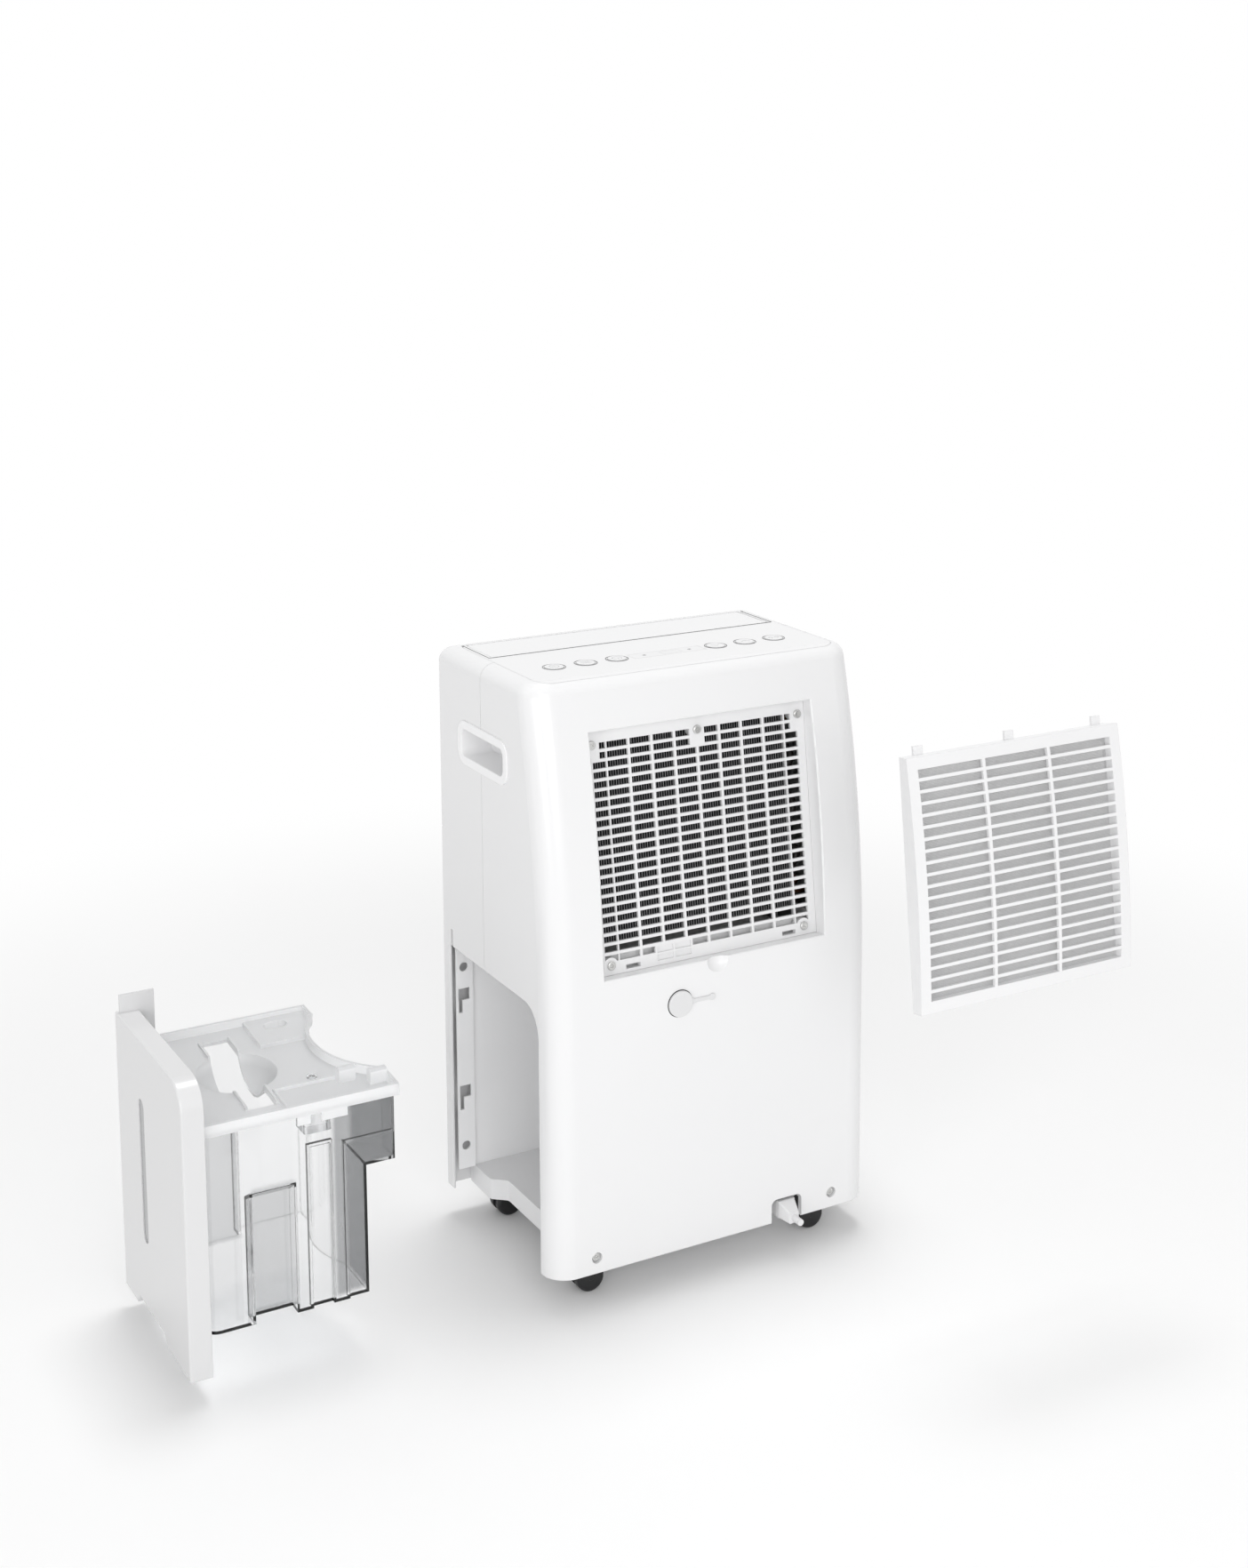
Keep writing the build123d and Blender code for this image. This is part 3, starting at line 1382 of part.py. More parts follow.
# Float: a sealed clear float on a stem that rises through the lid and brings its magnet to the reed switch
float_ceiling = tank_rim_z - (float_y + float_width / 2 - lid_level_y) * rim_fall
float_top = float_ceiling - float_travel - 2 * move_gap
head_bottom = lid_top + seat_gap
water_float = block(
    float_x - float_length / 2,
    float_x + float_length / 2,
    float_y - float_width / 2,
    float_y + float_width / 2,
    float_top - float_height,
    float_top,
)
water_float = fillet(water_float.edges().filter_by(Axis.Z), float_stem_radius)
water_float += upright(float_stem_radius, float_x, float_y, float_top, head_bottom)
water_float += upright(float_head_radius, float_x, float_y, head_bottom, head_bottom + float_head_height)
save(tank_shift * water_float, "tank_float")

reed = block(
    float_x - reed_length / 2,
    float_x + reed_length / 2,
    float_y - reed_width / 2,
    float_y + reed_width / 2,
    bay_ceiling - reed_height,
    bay_ceiling,
)
save(reed, "reed_switch")

# Tank panel: the hollow cover that fills the bay's opening, with a level slot and an upright guide tab
panel_back = body_form(tank_panel_skin, 0)
panel_prism = bay_opening(tank_panel_gap) & body_form(0, tank_panel_bottom)
panel_prism = panel_prism & block(tank_panel_inner_x, far, -far, far, tank_panel_bottom, far)


def finger_recess(grow):
    """Room for a hand under the panel's bottom edge, grown by a margin."""
    half = panel_finger_width / 2 + grow
    top = tank_panel_bottom + panel_finger_rise + grow
    outline = Polyline(
        (panel_finger_y - half, top),
        (panel_finger_y + half, top),
        (panel_finger_y + half + top, 0),
        (panel_finger_y - half - top, 0),
        close=True,
    )
    return extrude(make_face(Plane.YZ * outline), far, both=True)


panel_prism -= finger_recess(0)
panel_rim = [e for e in panel_prism.edges() if e.center().X > half_width - tank_panel_skin]
panel_prism = fillet(panel_rim, tank_panel_round)
panel_core = bay_opening(tank_panel_gap + tank_panel_skin) & panel_back
panel_core -= finger_recess(tank_panel_skin)
panel = panel_prism - (panel_core & block(0, far, -far, far, tank_panel_bottom + tank_panel_skin, far))
# In front of the guide tab only the outer skin is left, to pass over the bay's flange
tab_y0 = bay_front_y + tab_back_gap
tab_y1 = tab_y0 + tab_thickness
tab_x1 = half_width - tank_panel_skin
panel -= block(0, far, -far, tab_y0, 0, far) & panel_back
panel_top = bay_opening_top - tank_panel_gap
panel += block(tank_panel_inner_x, tab_x1, tab_y0, tab_y1, tank_panel_bottom, panel_top)
panel += block(
    tab_x1 - tab_width, tab_x1, tab_y0, tab_y1, bay_opening_top - 2 * bay_opening_corner, tab_top
)
# Posts hold the panel off the tank's end wall
for y in (tank_front_y + panel_post_inset, tank_back_y - panel_post_inset):
    for z in (tank_bottom + panel_post_inset, tank_rim_z - panel_post_inset):
        panel += along_x(panel_post_radius, y, z, tank_panel_inner_x, tab_x1)
slot_height = level_slot_top - level_slot_bottom
slot_mid = (level_slot_top + level_slot_bottom) / 2
level_slot = Pos(level_slot_y, slot_mid) * Rot(0, 0, 90) * SlotOverall(slot_height, level_slot_width)
panel -= extrude(Plane.YZ * level_slot, far)
save(tank_shift * panel, "tank_panel")

window_shape = Pos(level_slot_y, slot_mid) * Rot(0, 0, 90)
window_shape = window_shape * SlotOverall(slot_height - 2 * seat_gap, level_slot_width - 2 * seat_gap)
level_window = extrude(Plane.YZ * window_shape, far) & block(
    half_width - tank_panel_skin, half_width - tank_panel_skin + level_window_thickness, -far, far, 0, far
)
strip_grow = 2 * level_strip_margin
back_strip = Rectangle(level_slot_width + strip_grow, slot_height + strip_grow)
back_strip = extrude(Plane.YZ * Pos(level_slot_y, slot_mid) * back_strip, level_window_thickness)
level_window += Pos(half_width - tank_panel_skin - level_window_thickness, 0, 0) * back_strip
save(tank_shift * level_window, "level_window")

# Mains lead outlet: a tapered strain relief in the notch at the back, with the stub of lead that shows
relief_bottom = body_bottom + relief_lift
relief_z = relief_bottom + relief_height / 2
relief_back = back_y + relief_reach
relief_front = back_y - shell_wall - relief_inner
wide = Plane(origin=(notch_x, back_y, relief_z), x_dir=(-1, 0, 0), z_dir=(0, 1, 0)) * RectangleRounded(
    relief_width, relief_height, relief_corner
)
narrow = Plane(origin=(notch_x, relief_back, relief_z - cord_drop), x_dir=(-1, 0, 0), z_dir=(0, 1, 0))
narrow = narrow * RectangleRounded(relief_tip, relief_tip, relief_corner)
relief = loft([wide, narrow])
relief += block(
    notch_x - relief_width / 2,
    notch_x + relief_width / 2,
    relief_front,
    back_y,
    relief_bottom,
    relief_bottom + relief_height,
)
save(relief, "strain_relief")
stub = along_y(cord_radius, notch_x, relief_z - cord_drop, relief_back, relief_back + cord_stub_length)
save(stub, "lead_stub")

# Electrics: the relay box on the far side wall with the motor capacitor on top
electric_x = -inner_half_width + electric_width / 2
electric = block(
    -inner_half_width,
    -inner_half_width + electric_width,
    electric_y - electric_depth / 2,
    electric_y + electric_depth / 2,
    electric_bottom,
    electric_bottom + electric_height,
)
electric = fillet(electric.edges().filter_by(Axis.Y), shell_wall)
save(electric, "relay_box")
capacitor_bottom = electric_bottom + electric_height
capacitor = upright(
    min(capacitor_radius, electric_width / 2),
    electric_x,
    electric_y,
    capacitor_bottom,
    capacitor_bottom + capacitor_height,
)
save(capacitor, "run_capacitor")

# Casters: a swivelling fork between twin wheels on a cross axle, on each corner of the base
for name, (x, y) in caster_spots.items():
    axle_x = x - fork_trail if x > 0 else x + fork_trail
    fork_half = fork_thickness / 2
    fork_top = body_bottom - fork_top_gap
    fork = block(
        min(x, axle_x) - fork_hub_radius,
        max(x, axle_x) + fork_hub_radius,
        y - fork_half,
        y + fork_half,
        wheel_radius - 2 * axle_radius,
        fork_top,
    )
    fork = fillet(fork.edges().filter_by(Axis.Y), fork_thickness)
    fork += upright(fork_hub_radius, x, y, 2 * wheel_radius + fork_side_gap, fork_top)
    fork += upright(stem_radius, x, y, fork_top, body_bottom + stem_length)
    axle_half = fork_half + fork_side_gap + wheel_width
    fork += along_y(axle_radius, axle_x, wheel_radius, y - axle_half, y + axle_half)
    save(fork, "caster_fork_" + name)
    wheels = []
    for side in (1, -1):
        inner_y = y + side * (fork_half + fork_side_gap)
        outer_y = inner_y + side * wheel_width
        tyre = along_y(wheel_radius, axle_x, wheel_radius, inner_y, outer_y)
        outer_edge = tyre.edges().filter_by(GeomType.CIRCLE).sort_by(Axis.Y)
        tyre = fillet(outer_edge[-1] if side > 0 else outer_edge[0], wheel_round)
        tyre -= along_y(axle_radius + axle_clearance, axle_x, wheel_radius, inner_y, outer_y)
        wheels.append(tyre)
    save(Compound(children=wheels), "caster_wheels_" + name)
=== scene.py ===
import math

import bmesh
import bpy
from mathutils import Matrix, Vector


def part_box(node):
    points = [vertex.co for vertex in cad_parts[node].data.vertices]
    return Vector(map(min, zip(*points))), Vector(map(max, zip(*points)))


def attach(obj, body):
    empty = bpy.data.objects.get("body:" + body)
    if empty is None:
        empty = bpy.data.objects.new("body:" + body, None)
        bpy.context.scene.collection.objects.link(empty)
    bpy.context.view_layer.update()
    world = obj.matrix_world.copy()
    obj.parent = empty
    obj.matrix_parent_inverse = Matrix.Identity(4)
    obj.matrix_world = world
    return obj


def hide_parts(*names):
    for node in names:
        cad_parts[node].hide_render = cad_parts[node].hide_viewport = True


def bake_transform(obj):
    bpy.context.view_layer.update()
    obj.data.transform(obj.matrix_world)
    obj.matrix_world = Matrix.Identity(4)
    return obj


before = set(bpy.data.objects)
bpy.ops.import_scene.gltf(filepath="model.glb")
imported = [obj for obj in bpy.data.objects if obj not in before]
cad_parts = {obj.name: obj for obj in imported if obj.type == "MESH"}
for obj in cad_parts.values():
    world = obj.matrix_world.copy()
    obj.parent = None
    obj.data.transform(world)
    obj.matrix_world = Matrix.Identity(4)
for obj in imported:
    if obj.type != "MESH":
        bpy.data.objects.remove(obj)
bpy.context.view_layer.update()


# Base pan: the deck and skirt that everything else is built up on. Injection-moulded in white ABS with a
# fine mould grain, closed at the back and cut back where the tank slides out.
BASE_COLOUR = (0.84, 0.84, 0.845, 1.0)
TONE_SCALE = 7.0
TONE_DETAIL = 2.0
GRAIN_SCALE = 1500.0
GRAIN_DETAIL = 1.0
GRAIN_DEPTH = 0.0002
EDGE_RADIUS = 0.0006
EDGE_SAMPLES = 4
COLOUR, VALUE, VECTOR = "NodeSocketColor", "NodeSocketFloat", "NodeSocketVector"


def add(tree, kind, values=(), **settings):
    """A new node with settings and then inputs, by name or in order: sockets are linked, the rest is set."""
    made = tree.nodes.new(kind)
    for name, value in settings.items():
        setattr(made, name, value)
    for socket, value in values.items() if isinstance(values, dict) else enumerate(values):
        if isinstance(value, bpy.types.NodeSocket):
            tree.links.new(value, made.inputs[socket])
        else:
            made.inputs[socket].default_value = value
    return made


def worked(tree, operation, *values, clamp=False):
    """What a Math node makes of its values."""
    return add(tree, "ShaderNodeMath", values, operation=operation, use_clamp=clamp).outputs[0]


def new_group(name, kind, inputs, outputs):
    """An empty node group with named sockets; returns it with what it is given and what it puts out."""
    group = bpy.data.node_groups.new(name, kind)
    for way, sockets in (("INPUT", inputs), ("OUTPUT", outputs)):
        for title, socket_type in sockets.items():
            group.interface.new_socket(title, in_out=way, socket_type=socket_type)
    given = group.nodes.new("NodeGroupInput").outputs
    return group, given, group.nodes.new("NodeGroupOutput").inputs


def make_mould_grain():
    """Tone that drifts slowly over a moulding, gloss that drifts with it, and the grain of the mould."""
    group, given, result = new_group("mould_grain", "ShaderNodeTree", {
        "Colour": COLOUR,
        "Tone Drift": VALUE,
        "Roughness": VALUE,
        "Roughness Drift": VALUE,
        "Grain Scale": VALUE,
    }, {"Colour": COLOUR, "Roughness": VALUE, "Height": VALUE})
    place = add(group, "ShaderNodeTexCoord").outputs["Object"]
    slow = add(group, "ShaderNodeTexNoise", {"Vector": place, "Scale": TONE_SCALE, "Detail": TONE_DETAIL})
    swing = add(group, "ShaderNodeMapRange", {"Value": slow.outputs["Fac"], "To Min": -1.0, "To Max": 1.0})
    drift = swing.outputs["Result"]
    tone = worked(group, "MULTIPLY_ADD", drift, given["Tone Drift"], 1.0)
    toned = add(group, "ShaderNodeHueSaturation", {"Color": given["Colour"], "Value": tone})
    gloss = worked(group, "MULTIPLY_ADD", drift, given["Roughness Drift"], given["Roughness"], clamp=True)
    fine = add(group, "ShaderNodeTexNoise", {
        "Vector": place,
        "Scale": given["Grain Scale"],
        "Detail": GRAIN_DETAIL,
    })
    group.links.new(toned.outputs["Color"], result["Colour"])
    group.links.new(gloss, result["Roughness"])
    group.links.new(fine.outputs["Fac"], result["Height"])
    return group


def make_soft_edges():
    """The small radius that every moulded or pressed edge has, as a rounded normal."""
    group, given, result = new_group("soft_edges", "ShaderNodeTree", {"Radius": VALUE}, {"Normal": VECTOR})
    rounded = add(group, "ShaderNodeBevel", {"Radius": given["Radius"]}, samples=EDGE_SAMPLES)
    group.links.new(rounded.outputs["Normal"], result["Normal"])
    return group


mould_grain = make_mould_grain()
soft_edges = make_soft_edges()


def shader_of(material):
    """The shader that a finish ends in."""
    return material.node_tree.nodes["Principled BSDF"]


def finish_of(name, colour, roughness, tone=0.02, drift=0.05, grain=GRAIN_SCALE, relief=0.03,
              edge=EDGE_RADIUS, metallic=0.0):
    """A material with mould grain and soft edges."""
    material = bpy.data.materials.new(name)
    material.use_nodes = True
    tree = material.node_tree
    shader = shader_of(material)
    surface = add(tree, "ShaderNodeGroup", {
        "Colour": colour,
        "Tone Drift": tone,
        "Roughness": roughness,
        "Roughness Drift": drift,
        "Grain Scale": grain,
    }, node_tree=mould_grain)
    edges = add(tree, "ShaderNodeGroup", {"Radius": edge}, node_tree=soft_edges)
    bump = add(tree, "ShaderNodeBump", {
        "Height": surface.outputs["Height"],
        "Normal": edges.outputs["Normal"],
        "Strength": relief,
        "Distance": GRAIN_DEPTH,
    })
    tree.links.new(surface.outputs["Colour"], shader.inputs["Base Color"])
    tree.links.new(surface.outputs["Roughness"], shader.inputs["Roughness"])
    tree.links.new(bump.outputs["Normal"], shader.inputs["Normal"])
    shader.inputs["Metallic"].default_value = metallic
    return material


def dress(material, *nodes):
    """Gives CAD nodes their finish."""
    for name in nodes:
        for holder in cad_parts[name].material_slots:
            holder.material = material


base_plastic = finish_of("base_plastic", BASE_COLOUR, roughness=0.38)
dress(base_plastic, "base_pan")


# Casters: four swivelling forks with twin wheels, in black nylon. The forks turn on a stem pressed into the
# base, and the wheels run on an axle between the fork's cheeks.
CASTER_COLOUR = (0.012, 0.012, 0.013, 1.0)
CASTERS = ("back_left", "back_right", "front_left", "front_right")

caster_nylon = finish_of("caster_nylon", CASTER_COLOUR, roughness=0.36, tone=0.15, relief=0.08)
for corner in CASTERS:
    dress(caster_nylon, "caster_fork_" + corner, "caster_wheels_" + corner)


# Sealed compressor: a steel can painted black, with its pump inside, on three rubber grommets, and the
# copper pipes that join it to the two fin packs.
COMPRESSOR_COLOUR = (0.018, 0.018, 0.02, 1.0)
PUMP_COLOUR = (0.12, 0.115, 0.11, 1.0)
GROMMET_COLOUR = (0.03, 0.03, 0.03, 1.0)
COPPER_COLOUR = (0.72, 0.34, 0.2, 1.0)

compressor_paint = finish_of(
    "compressor_paint", COMPRESSOR_COLOUR, roughness=0.32, tone=0.2, grain=300.0, relief=0.1,
)
pump_iron = finish_of(
    "pump_iron", PUMP_COLOUR, roughness=0.5, tone=0.2, grain=500.0, relief=0.3, metallic=1.0,
)
grommet_rubber = finish_of("grommet_rubber", GROMMET_COLOUR, roughness=0.7, tone=0.2)
copper = finish_of("copper", COPPER_COLOUR, roughness=0.3, tone=0.12, drift=0.12, grain=400.0, metallic=1.0)
dress(compressor_paint, "compressor", "accumulator")
dress(pump_iron, "compressor_pump")
dress(grommet_rubber, "compressor_grommets")
dress(copper, "discharge_pipe", "suction_pipe", "capillary_tube")


# Tank bay: the inner walls that the tank slides into, with a flange behind the mouth of the casing, and the
# tray above it that catches the water. Moulded in white plastic; its colour is painted light, brighter
# than the base to lift the shade inside the bay.
BAY_LIT_COLOUR = (0.95, 0.95, 0.955, 1.0)

# Painted light: the bay's colour is brighter than the white plastic it is moulded in.
bay_plastic_painted_light = finish_of("bay_plastic_painted_light", BAY_LIT_COLOUR, roughness=0.34)
dress(bay_plastic_painted_light, "tank_bay_liner", "drip_tray")


# Fin packs: thin aluminium fins pressed on to copper tubes, all dipped in a dark hydrophilic coat that
# sheds the water. They stand on their end plates behind the grille, and their front edges are worn bare.
FIN_COLOUR = (0.02, 0.021, 0.022, 1.0)
FIN_EDGE_COLOUR = (0.5, 0.5, 0.51, 1.0)
FIN_EDGE_FACING = 0.9
TUBE_COLOUR = (0.03, 0.026, 0.024, 1.0)
INLET_LEAN = math.radians(6.9)
MIX_SHARE, MIX_BELOW, MIX_ABOVE, MIX_RESULT = 0, 6, 7, 2


def lay_over(tree, socket, mask, colour):
    """Lays a colour over what feeds a socket where the mask is 1; returns the socket below that colour."""
    mix = add(tree, "ShaderNodeMix", {
        MIX_SHARE: mask,
        MIX_BELOW: socket.links[0].from_socket,
        MIX_ABOVE: colour,
    }, data_type="RGBA")
    tree.links.new(mix.outputs[MIX_RESULT], socket)
    return mix.inputs[MIX_BELOW]


fin_coat = finish_of("fin_coat", FIN_COLOUR, roughness=0.42, tone=0.25, edge=0.0001)
fin_tree = fin_coat.node_tree
fin_normal = add(fin_tree, "ShaderNodeTexCoord").outputs["Normal"]
inlet_facing = (0.0, math.cos(INLET_LEAN), math.sin(INLET_LEAN))
fin_facing = add(fin_tree, "ShaderNodeVectorMath", (fin_normal, inlet_facing), operation="DOT_PRODUCT")
fin_bare = worked(fin_tree, "GREATER_THAN", fin_facing.outputs["Value"], FIN_EDGE_FACING)
lay_over(fin_tree, shader_of(fin_coat).inputs["Base Color"], fin_bare, FIN_EDGE_COLOUR)
tube_coat = finish_of("tube_coat", TUBE_COLOUR, roughness=0.4, tone=0.2, grain=400.0)
dress(fin_coat, "evaporator_fins", "condenser_fins")
dress(tube_coat, "evaporator_tube", "condenser_tube")


# Fan: a moulded wheel on a steel shaft in front of its motor, which hangs in the scroll. Wheel and scroll
# are moulded in dark grey plastic, the motor's can is painted.
FAN_COLOUR = (0.08, 0.085, 0.09, 1.0)
STEEL_COLOUR = (0.62, 0.62, 0.61, 1.0)
MOTOR_COLOUR = (0.3, 0.31, 0.32, 1.0)

fan_plastic = finish_of("fan_plastic", FAN_COLOUR, roughness=0.42, tone=0.1)
steel = finish_of("steel", STEEL_COLOUR, roughness=0.28, tone=0.06, drift=0.1, grain=700.0, metallic=1.0)
motor_paint = finish_of("motor_paint", MOTOR_COLOUR, roughness=0.45, tone=0.1, relief=0.08)
dress(fan_plastic, "fan_wheel", "fan_scroll")
dress(steel, "fan_shaft")
dress(motor_paint, "fan_motor")


# Electrics: the board under the buttons in green laminate, the reed switch above the tank's float, and the
# relay and the capacitor beside the compressor.
BOARD_COLOUR = (0.03, 0.16, 0.07, 1.0)
REED_COLOUR = (0.05, 0.05, 0.055, 1.0)

laminate = finish_of("laminate", BOARD_COLOUR, roughness=0.35, tone=0.15, grain=600.0)
reed_plastic = finish_of("reed_plastic", REED_COLOUR, roughness=0.4)
dress(laminate, "control_board")
dress(reed_plastic, "reed_switch")
dress(bay_plastic_painted_light, "relay_box")
dress(motor_paint, "run_capacitor")


# Casing: front and back shell meet at a seam down the sides, with a top cover let in flush and a cup for
# the hand on each side. Moulded in gloss white ABS, and screwed to the base at the foot of the back.
CASING_COLOUR = (0.82, 0.82, 0.825, 1.0)
CUP_LIT_COLOUR = (0.9, 0.9, 0.905, 1.0)
CASING_FINISH = {"roughness": 0.22, "tone": 0.008, "drift": 0.04, "relief": 0.012, "edge": 0.0008}

casing_white = finish_of("casing_white", CASING_COLOUR, **CASING_FINISH)
# Painted light: the hand cups are the casing's white plastic in a brighter colour, lifting the shade inside
# them.
cup_painted_light = finish_of("cup_painted_light", CUP_LIT_COLOUR, roughness=0.3, tone=0.008, relief=0.012, edge=0.0012)
dress(casing_white, "front_shell", "back_shell", "top_cover", "louver_flap")
dress(cup_painted_light, "hand_hold_tank_side", "hand_hold_far_side")
dress(steel, "shell_screws")


# Air inlet: a lattice moulded in white plastic, leaning back a little as the casing does there. Five
# nickel-plated screws hold it in the recess of the back.
GRILLE_COLOUR = (0.8, 0.8, 0.805, 1.0)

grille_white = finish_of("grille_white", GRILLE_COLOUR, roughness=0.3, edge=0.0004)
dress(grille_white, "intake_grille")
dress(steel, "grille_screws")


# Controls: six press buttons and a pale lens over the indicators, set into the top cover. Grey marks stand
# a hair proud of the buttons and the lens: plain strokes and dots, moulded in.
BUTTON_COLOUR = (0.8, 0.8, 0.805, 1.0)
LENS_COLOUR = (0.8, 0.8, 0.805, 1.0)
MARK_COLOUR = (0.12, 0.12, 0.125, 1.0)
FAINT_COLOUR = (0.4, 0.4, 0.405, 1.0)
BUTTON_COUNT = 6
BUTTONS = ["button_%d" % (i + 1) for i in range(BUTTON_COUNT)]
MARK_RADIUS = 0.001
MARK_SUNK = 0.00093
MARK_SIZE = 0.0046
BEAD_SIDES = 8
FULL_TURN = 360
ARC_STEPS = 18
EYE_STEPS = 12
DISPLAY_DOTS = (0.0246, -0.0246)
DOT_RADIUS = 0.0018
DOT_RINGS = (0.25, 0.6, 1.0)
DOT_STEPS = 16
DISPLAY_FRAME = (0.0105, 0.0042)
DISPLAY_FRAME_X = -0.004
GEOMETRY, MATERIAL = "NodeSocketGeometry", "NodeSocketMaterial"

button_white = finish_of("button_white", BUTTON_COLOUR, roughness=0.3, edge=0.0004)
lens_white = finish_of("lens_white", LENS_COLOUR, roughness=0.12, edge=0.0003)
mark_ink = finish_of("mark_ink", MARK_COLOUR, roughness=0.4, tone=0.05)
mark_faint = finish_of("mark_faint", FAINT_COLOUR, roughness=0.4, tone=0.05)
dress(button_white, *BUTTONS)
dress(lens_white, "display_window")


def arc(radius, start=0, stop=FULL_TURN, steps=ARC_STEPS, middle=(0.0, 0.0)):
    """Points along a circle or part of one, with the angles in degrees."""
    angles = [math.radians(start + (stop - start) * i / steps) for i in range(steps + 1)]
    return [(middle[0] + radius * math.cos(a), middle[1] + radius * math.sin(a)) for a in angles]


# The strokes of each button's mark, in units of MARK_SIZE.
MARKS = (
    (arc(1.0, 120, 420), [(0.0, 0.3), (0.0, 1.3)]),
    ([(-1.0, 0.7), (1.0, 0.7)], [(-1.0, 0.0), (1.0, 0.0)], [(-1.0, -0.7), (1.0, -0.7)]),
    (arc(1.0), [(0.0, 0.6), (0.0, 0.0), (0.5, 0.0)]),
    ([(-1.0, -0.4), (0.0, 0.6), (1.0, -0.4)],),
    ([(-1.0, 0.4), (0.0, -0.6), (1.0, 0.4)],),
    (arc(0.45, steps=EYE_STEPS, middle=(-0.7, 0.0)), arc(0.45, steps=EYE_STEPS, middle=(0.7, 0.0))),
)


def finish_growth(tree, geometry, material, result):
    """Ends a Geometry Nodes tree: instances are made real and get their material."""
    real = add(tree, "GeometryNodeRealizeInstances", {"Geometry": geometry})
    dressed = add(tree, "GeometryNodeSetMaterial", {
        "Geometry": real.outputs["Geometry"],
        "Material": material,
    })
    tree.links.new(dressed.outputs["Geometry"], result["Geometry"])


def stroke_tree():
    """Round beads of one thickness along every run of edges."""
    inputs = {"Runs": GEOMETRY, "Radius": VALUE, "Material": MATERIAL}
    tree, given, result = new_group("moulded_strokes", "GeometryNodeTree", inputs, {"Geometry": GEOMETRY})
    path = add(tree, "GeometryNodeMeshToCurve", {"Mesh": given["Runs"]})
    bead = add(tree, "GeometryNodeCurvePrimitiveCircle", {
        "Radius": given["Radius"],
        "Resolution": BEAD_SIDES,
    })
    drawn = add(tree, "GeometryNodeCurveToMesh", {
        "Curve": path.outputs["Curve"],
        "Profile Curve": bead.outputs["Curve"],
        "Fill Caps": True,
    })
    finish_growth(tree, drawn.outputs["Mesh"], given["Material"], result)
    return tree


def put(name, data):
    """A new object in the scene for a mesh, a lamp or a camera."""
    made = bpy.data.objects.new(name, data)
    bpy.context.collection.objects.link(made)
    return made


def grown(name, tree, runs=(), **inputs):
    """A mesh object with what a Geometry Nodes tree makes of its inputs, along runs of points if given."""
    points, edges = [], []
    for run in runs:
        first = len(points)
        points += run
        edges += [(first + i, first + i + 1) for i in range(len(run) - 1)]
    base = bpy.data.meshes.new(name + "_tree")
    base.from_pydata(points, edges, [])
    holder = put(name + "_tree", base)
    modifier = holder.modifiers.new("tree", "NODES")
    modifier.node_group = tree
    sockets = [item for item in tree.interface.items_tree if item.in_out == "INPUT"]
    identifiers = {socket.name: socket.identifier for socket in sockets}
    for title, value in inputs.items():
        modifier[identifiers[title]] = value
    ready = holder.evaluated_get(bpy.context.evaluated_depsgraph_get())
    mesh = bpy.data.meshes.new_from_object(ready)
    mesh.name = name
    holder.modifiers.remove(modifier)
    bpy.data.objects.remove(holder)
    return put(name, mesh)


def placed(run, middle, height, scale=1.0):
    """A flat run of points set round a middle at one height."""
    return [(middle.x + scale * x, middle.y + scale * y, height) for x, y in run]


strokes_of = stroke_tree()
cover_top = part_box("top_cover")[1].z
for button, strokes in zip(BUTTONS, MARKS):
    low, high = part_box(button)
    runs = [placed(run, (low + high) / 2, high.z - MARK_SUNK, MARK_SIZE) for run in strokes]
    mark = grown(button + "_mark", strokes_of, runs, Radius=MARK_RADIUS, Material=mark_ink)
    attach(mark, button)
lens_low, lens_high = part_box("display_window")
lens_middle = (lens_low + lens_high) / 2
dot_height = lens_high.z - MARK_SUNK
dots = [
    placed(arc(DOT_RADIUS * share, steps=DOT_STEPS, middle=(x, 0.0)), lens_middle, dot_height)
    for x in DISPLAY_DOTS
    for share in DOT_RINGS
]
display_dots = grown("display_dots", strokes_of, dots, Radius=MARK_RADIUS, Material=mark_ink)
half_x, half_y = DISPLAY_FRAME
start_x, stop_x = DISPLAY_FRAME_X - half_x, DISPLAY_FRAME_X + half_x
outline = [(start_x, -half_y), (stop_x, -half_y), (stop_x, half_y), (start_x, half_y), (start_x, -half_y)]
frame_run = placed(outline, lens_middle, dot_height)
display_frame = grown("display_frame", strokes_of, [frame_run], Radius=MARK_RADIUS, Material=mark_faint)
for mark in (display_dots, display_frame):
    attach(mark, "casing")

# Painted shade: thin dark grey beads lie in the gaps round the buttons and along the louver, with a thicker
# one at each end of the louver, standing in for the shade in those gaps.
GAP_SHADE_GREY = (0.16, 0.16, 0.162, 1.0)
GAP_SHADE_BEAD = 0.0003
GAP_SHADE_PROUD = 0.00012
GAP_SHADE_OFFSET = 0.0003
GAP_SHADE_STEPS = 40
END_SHADE_BEAD = 0.0009
END_SHADE_LENGTH = 0.003
END_SHADE_SUNK = 0.0004

gap_shade_grey = finish_of("gap_shade_grey", GAP_SHADE_GREY, roughness=0.6, tone=0.1)
gap_shade_height = cover_top + GAP_SHADE_PROUD
rings = []
for button in BUTTONS:
    low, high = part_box(button)
    middle = (low + high) / 2
    reach = (high - low) / 2
    rings.append([
        (middle.x + (reach.x + GAP_SHADE_OFFSET) * x, middle.y + (reach.y + GAP_SHADE_OFFSET) * y, gap_shade_height)
        for x, y in arc(1.0, steps=GAP_SHADE_STEPS)
    ])
flap_low, flap_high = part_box("louver_flap")
left, right = flap_low.x - GAP_SHADE_OFFSET, flap_high.x + GAP_SHADE_OFFSET
front, back = flap_low.y, flap_high.y + GAP_SHADE_OFFSET
flap_run = [(left, front), (left, back), (right, back), (right, front)]
rings.append([(x, y, gap_shade_height) for x, y in flap_run])
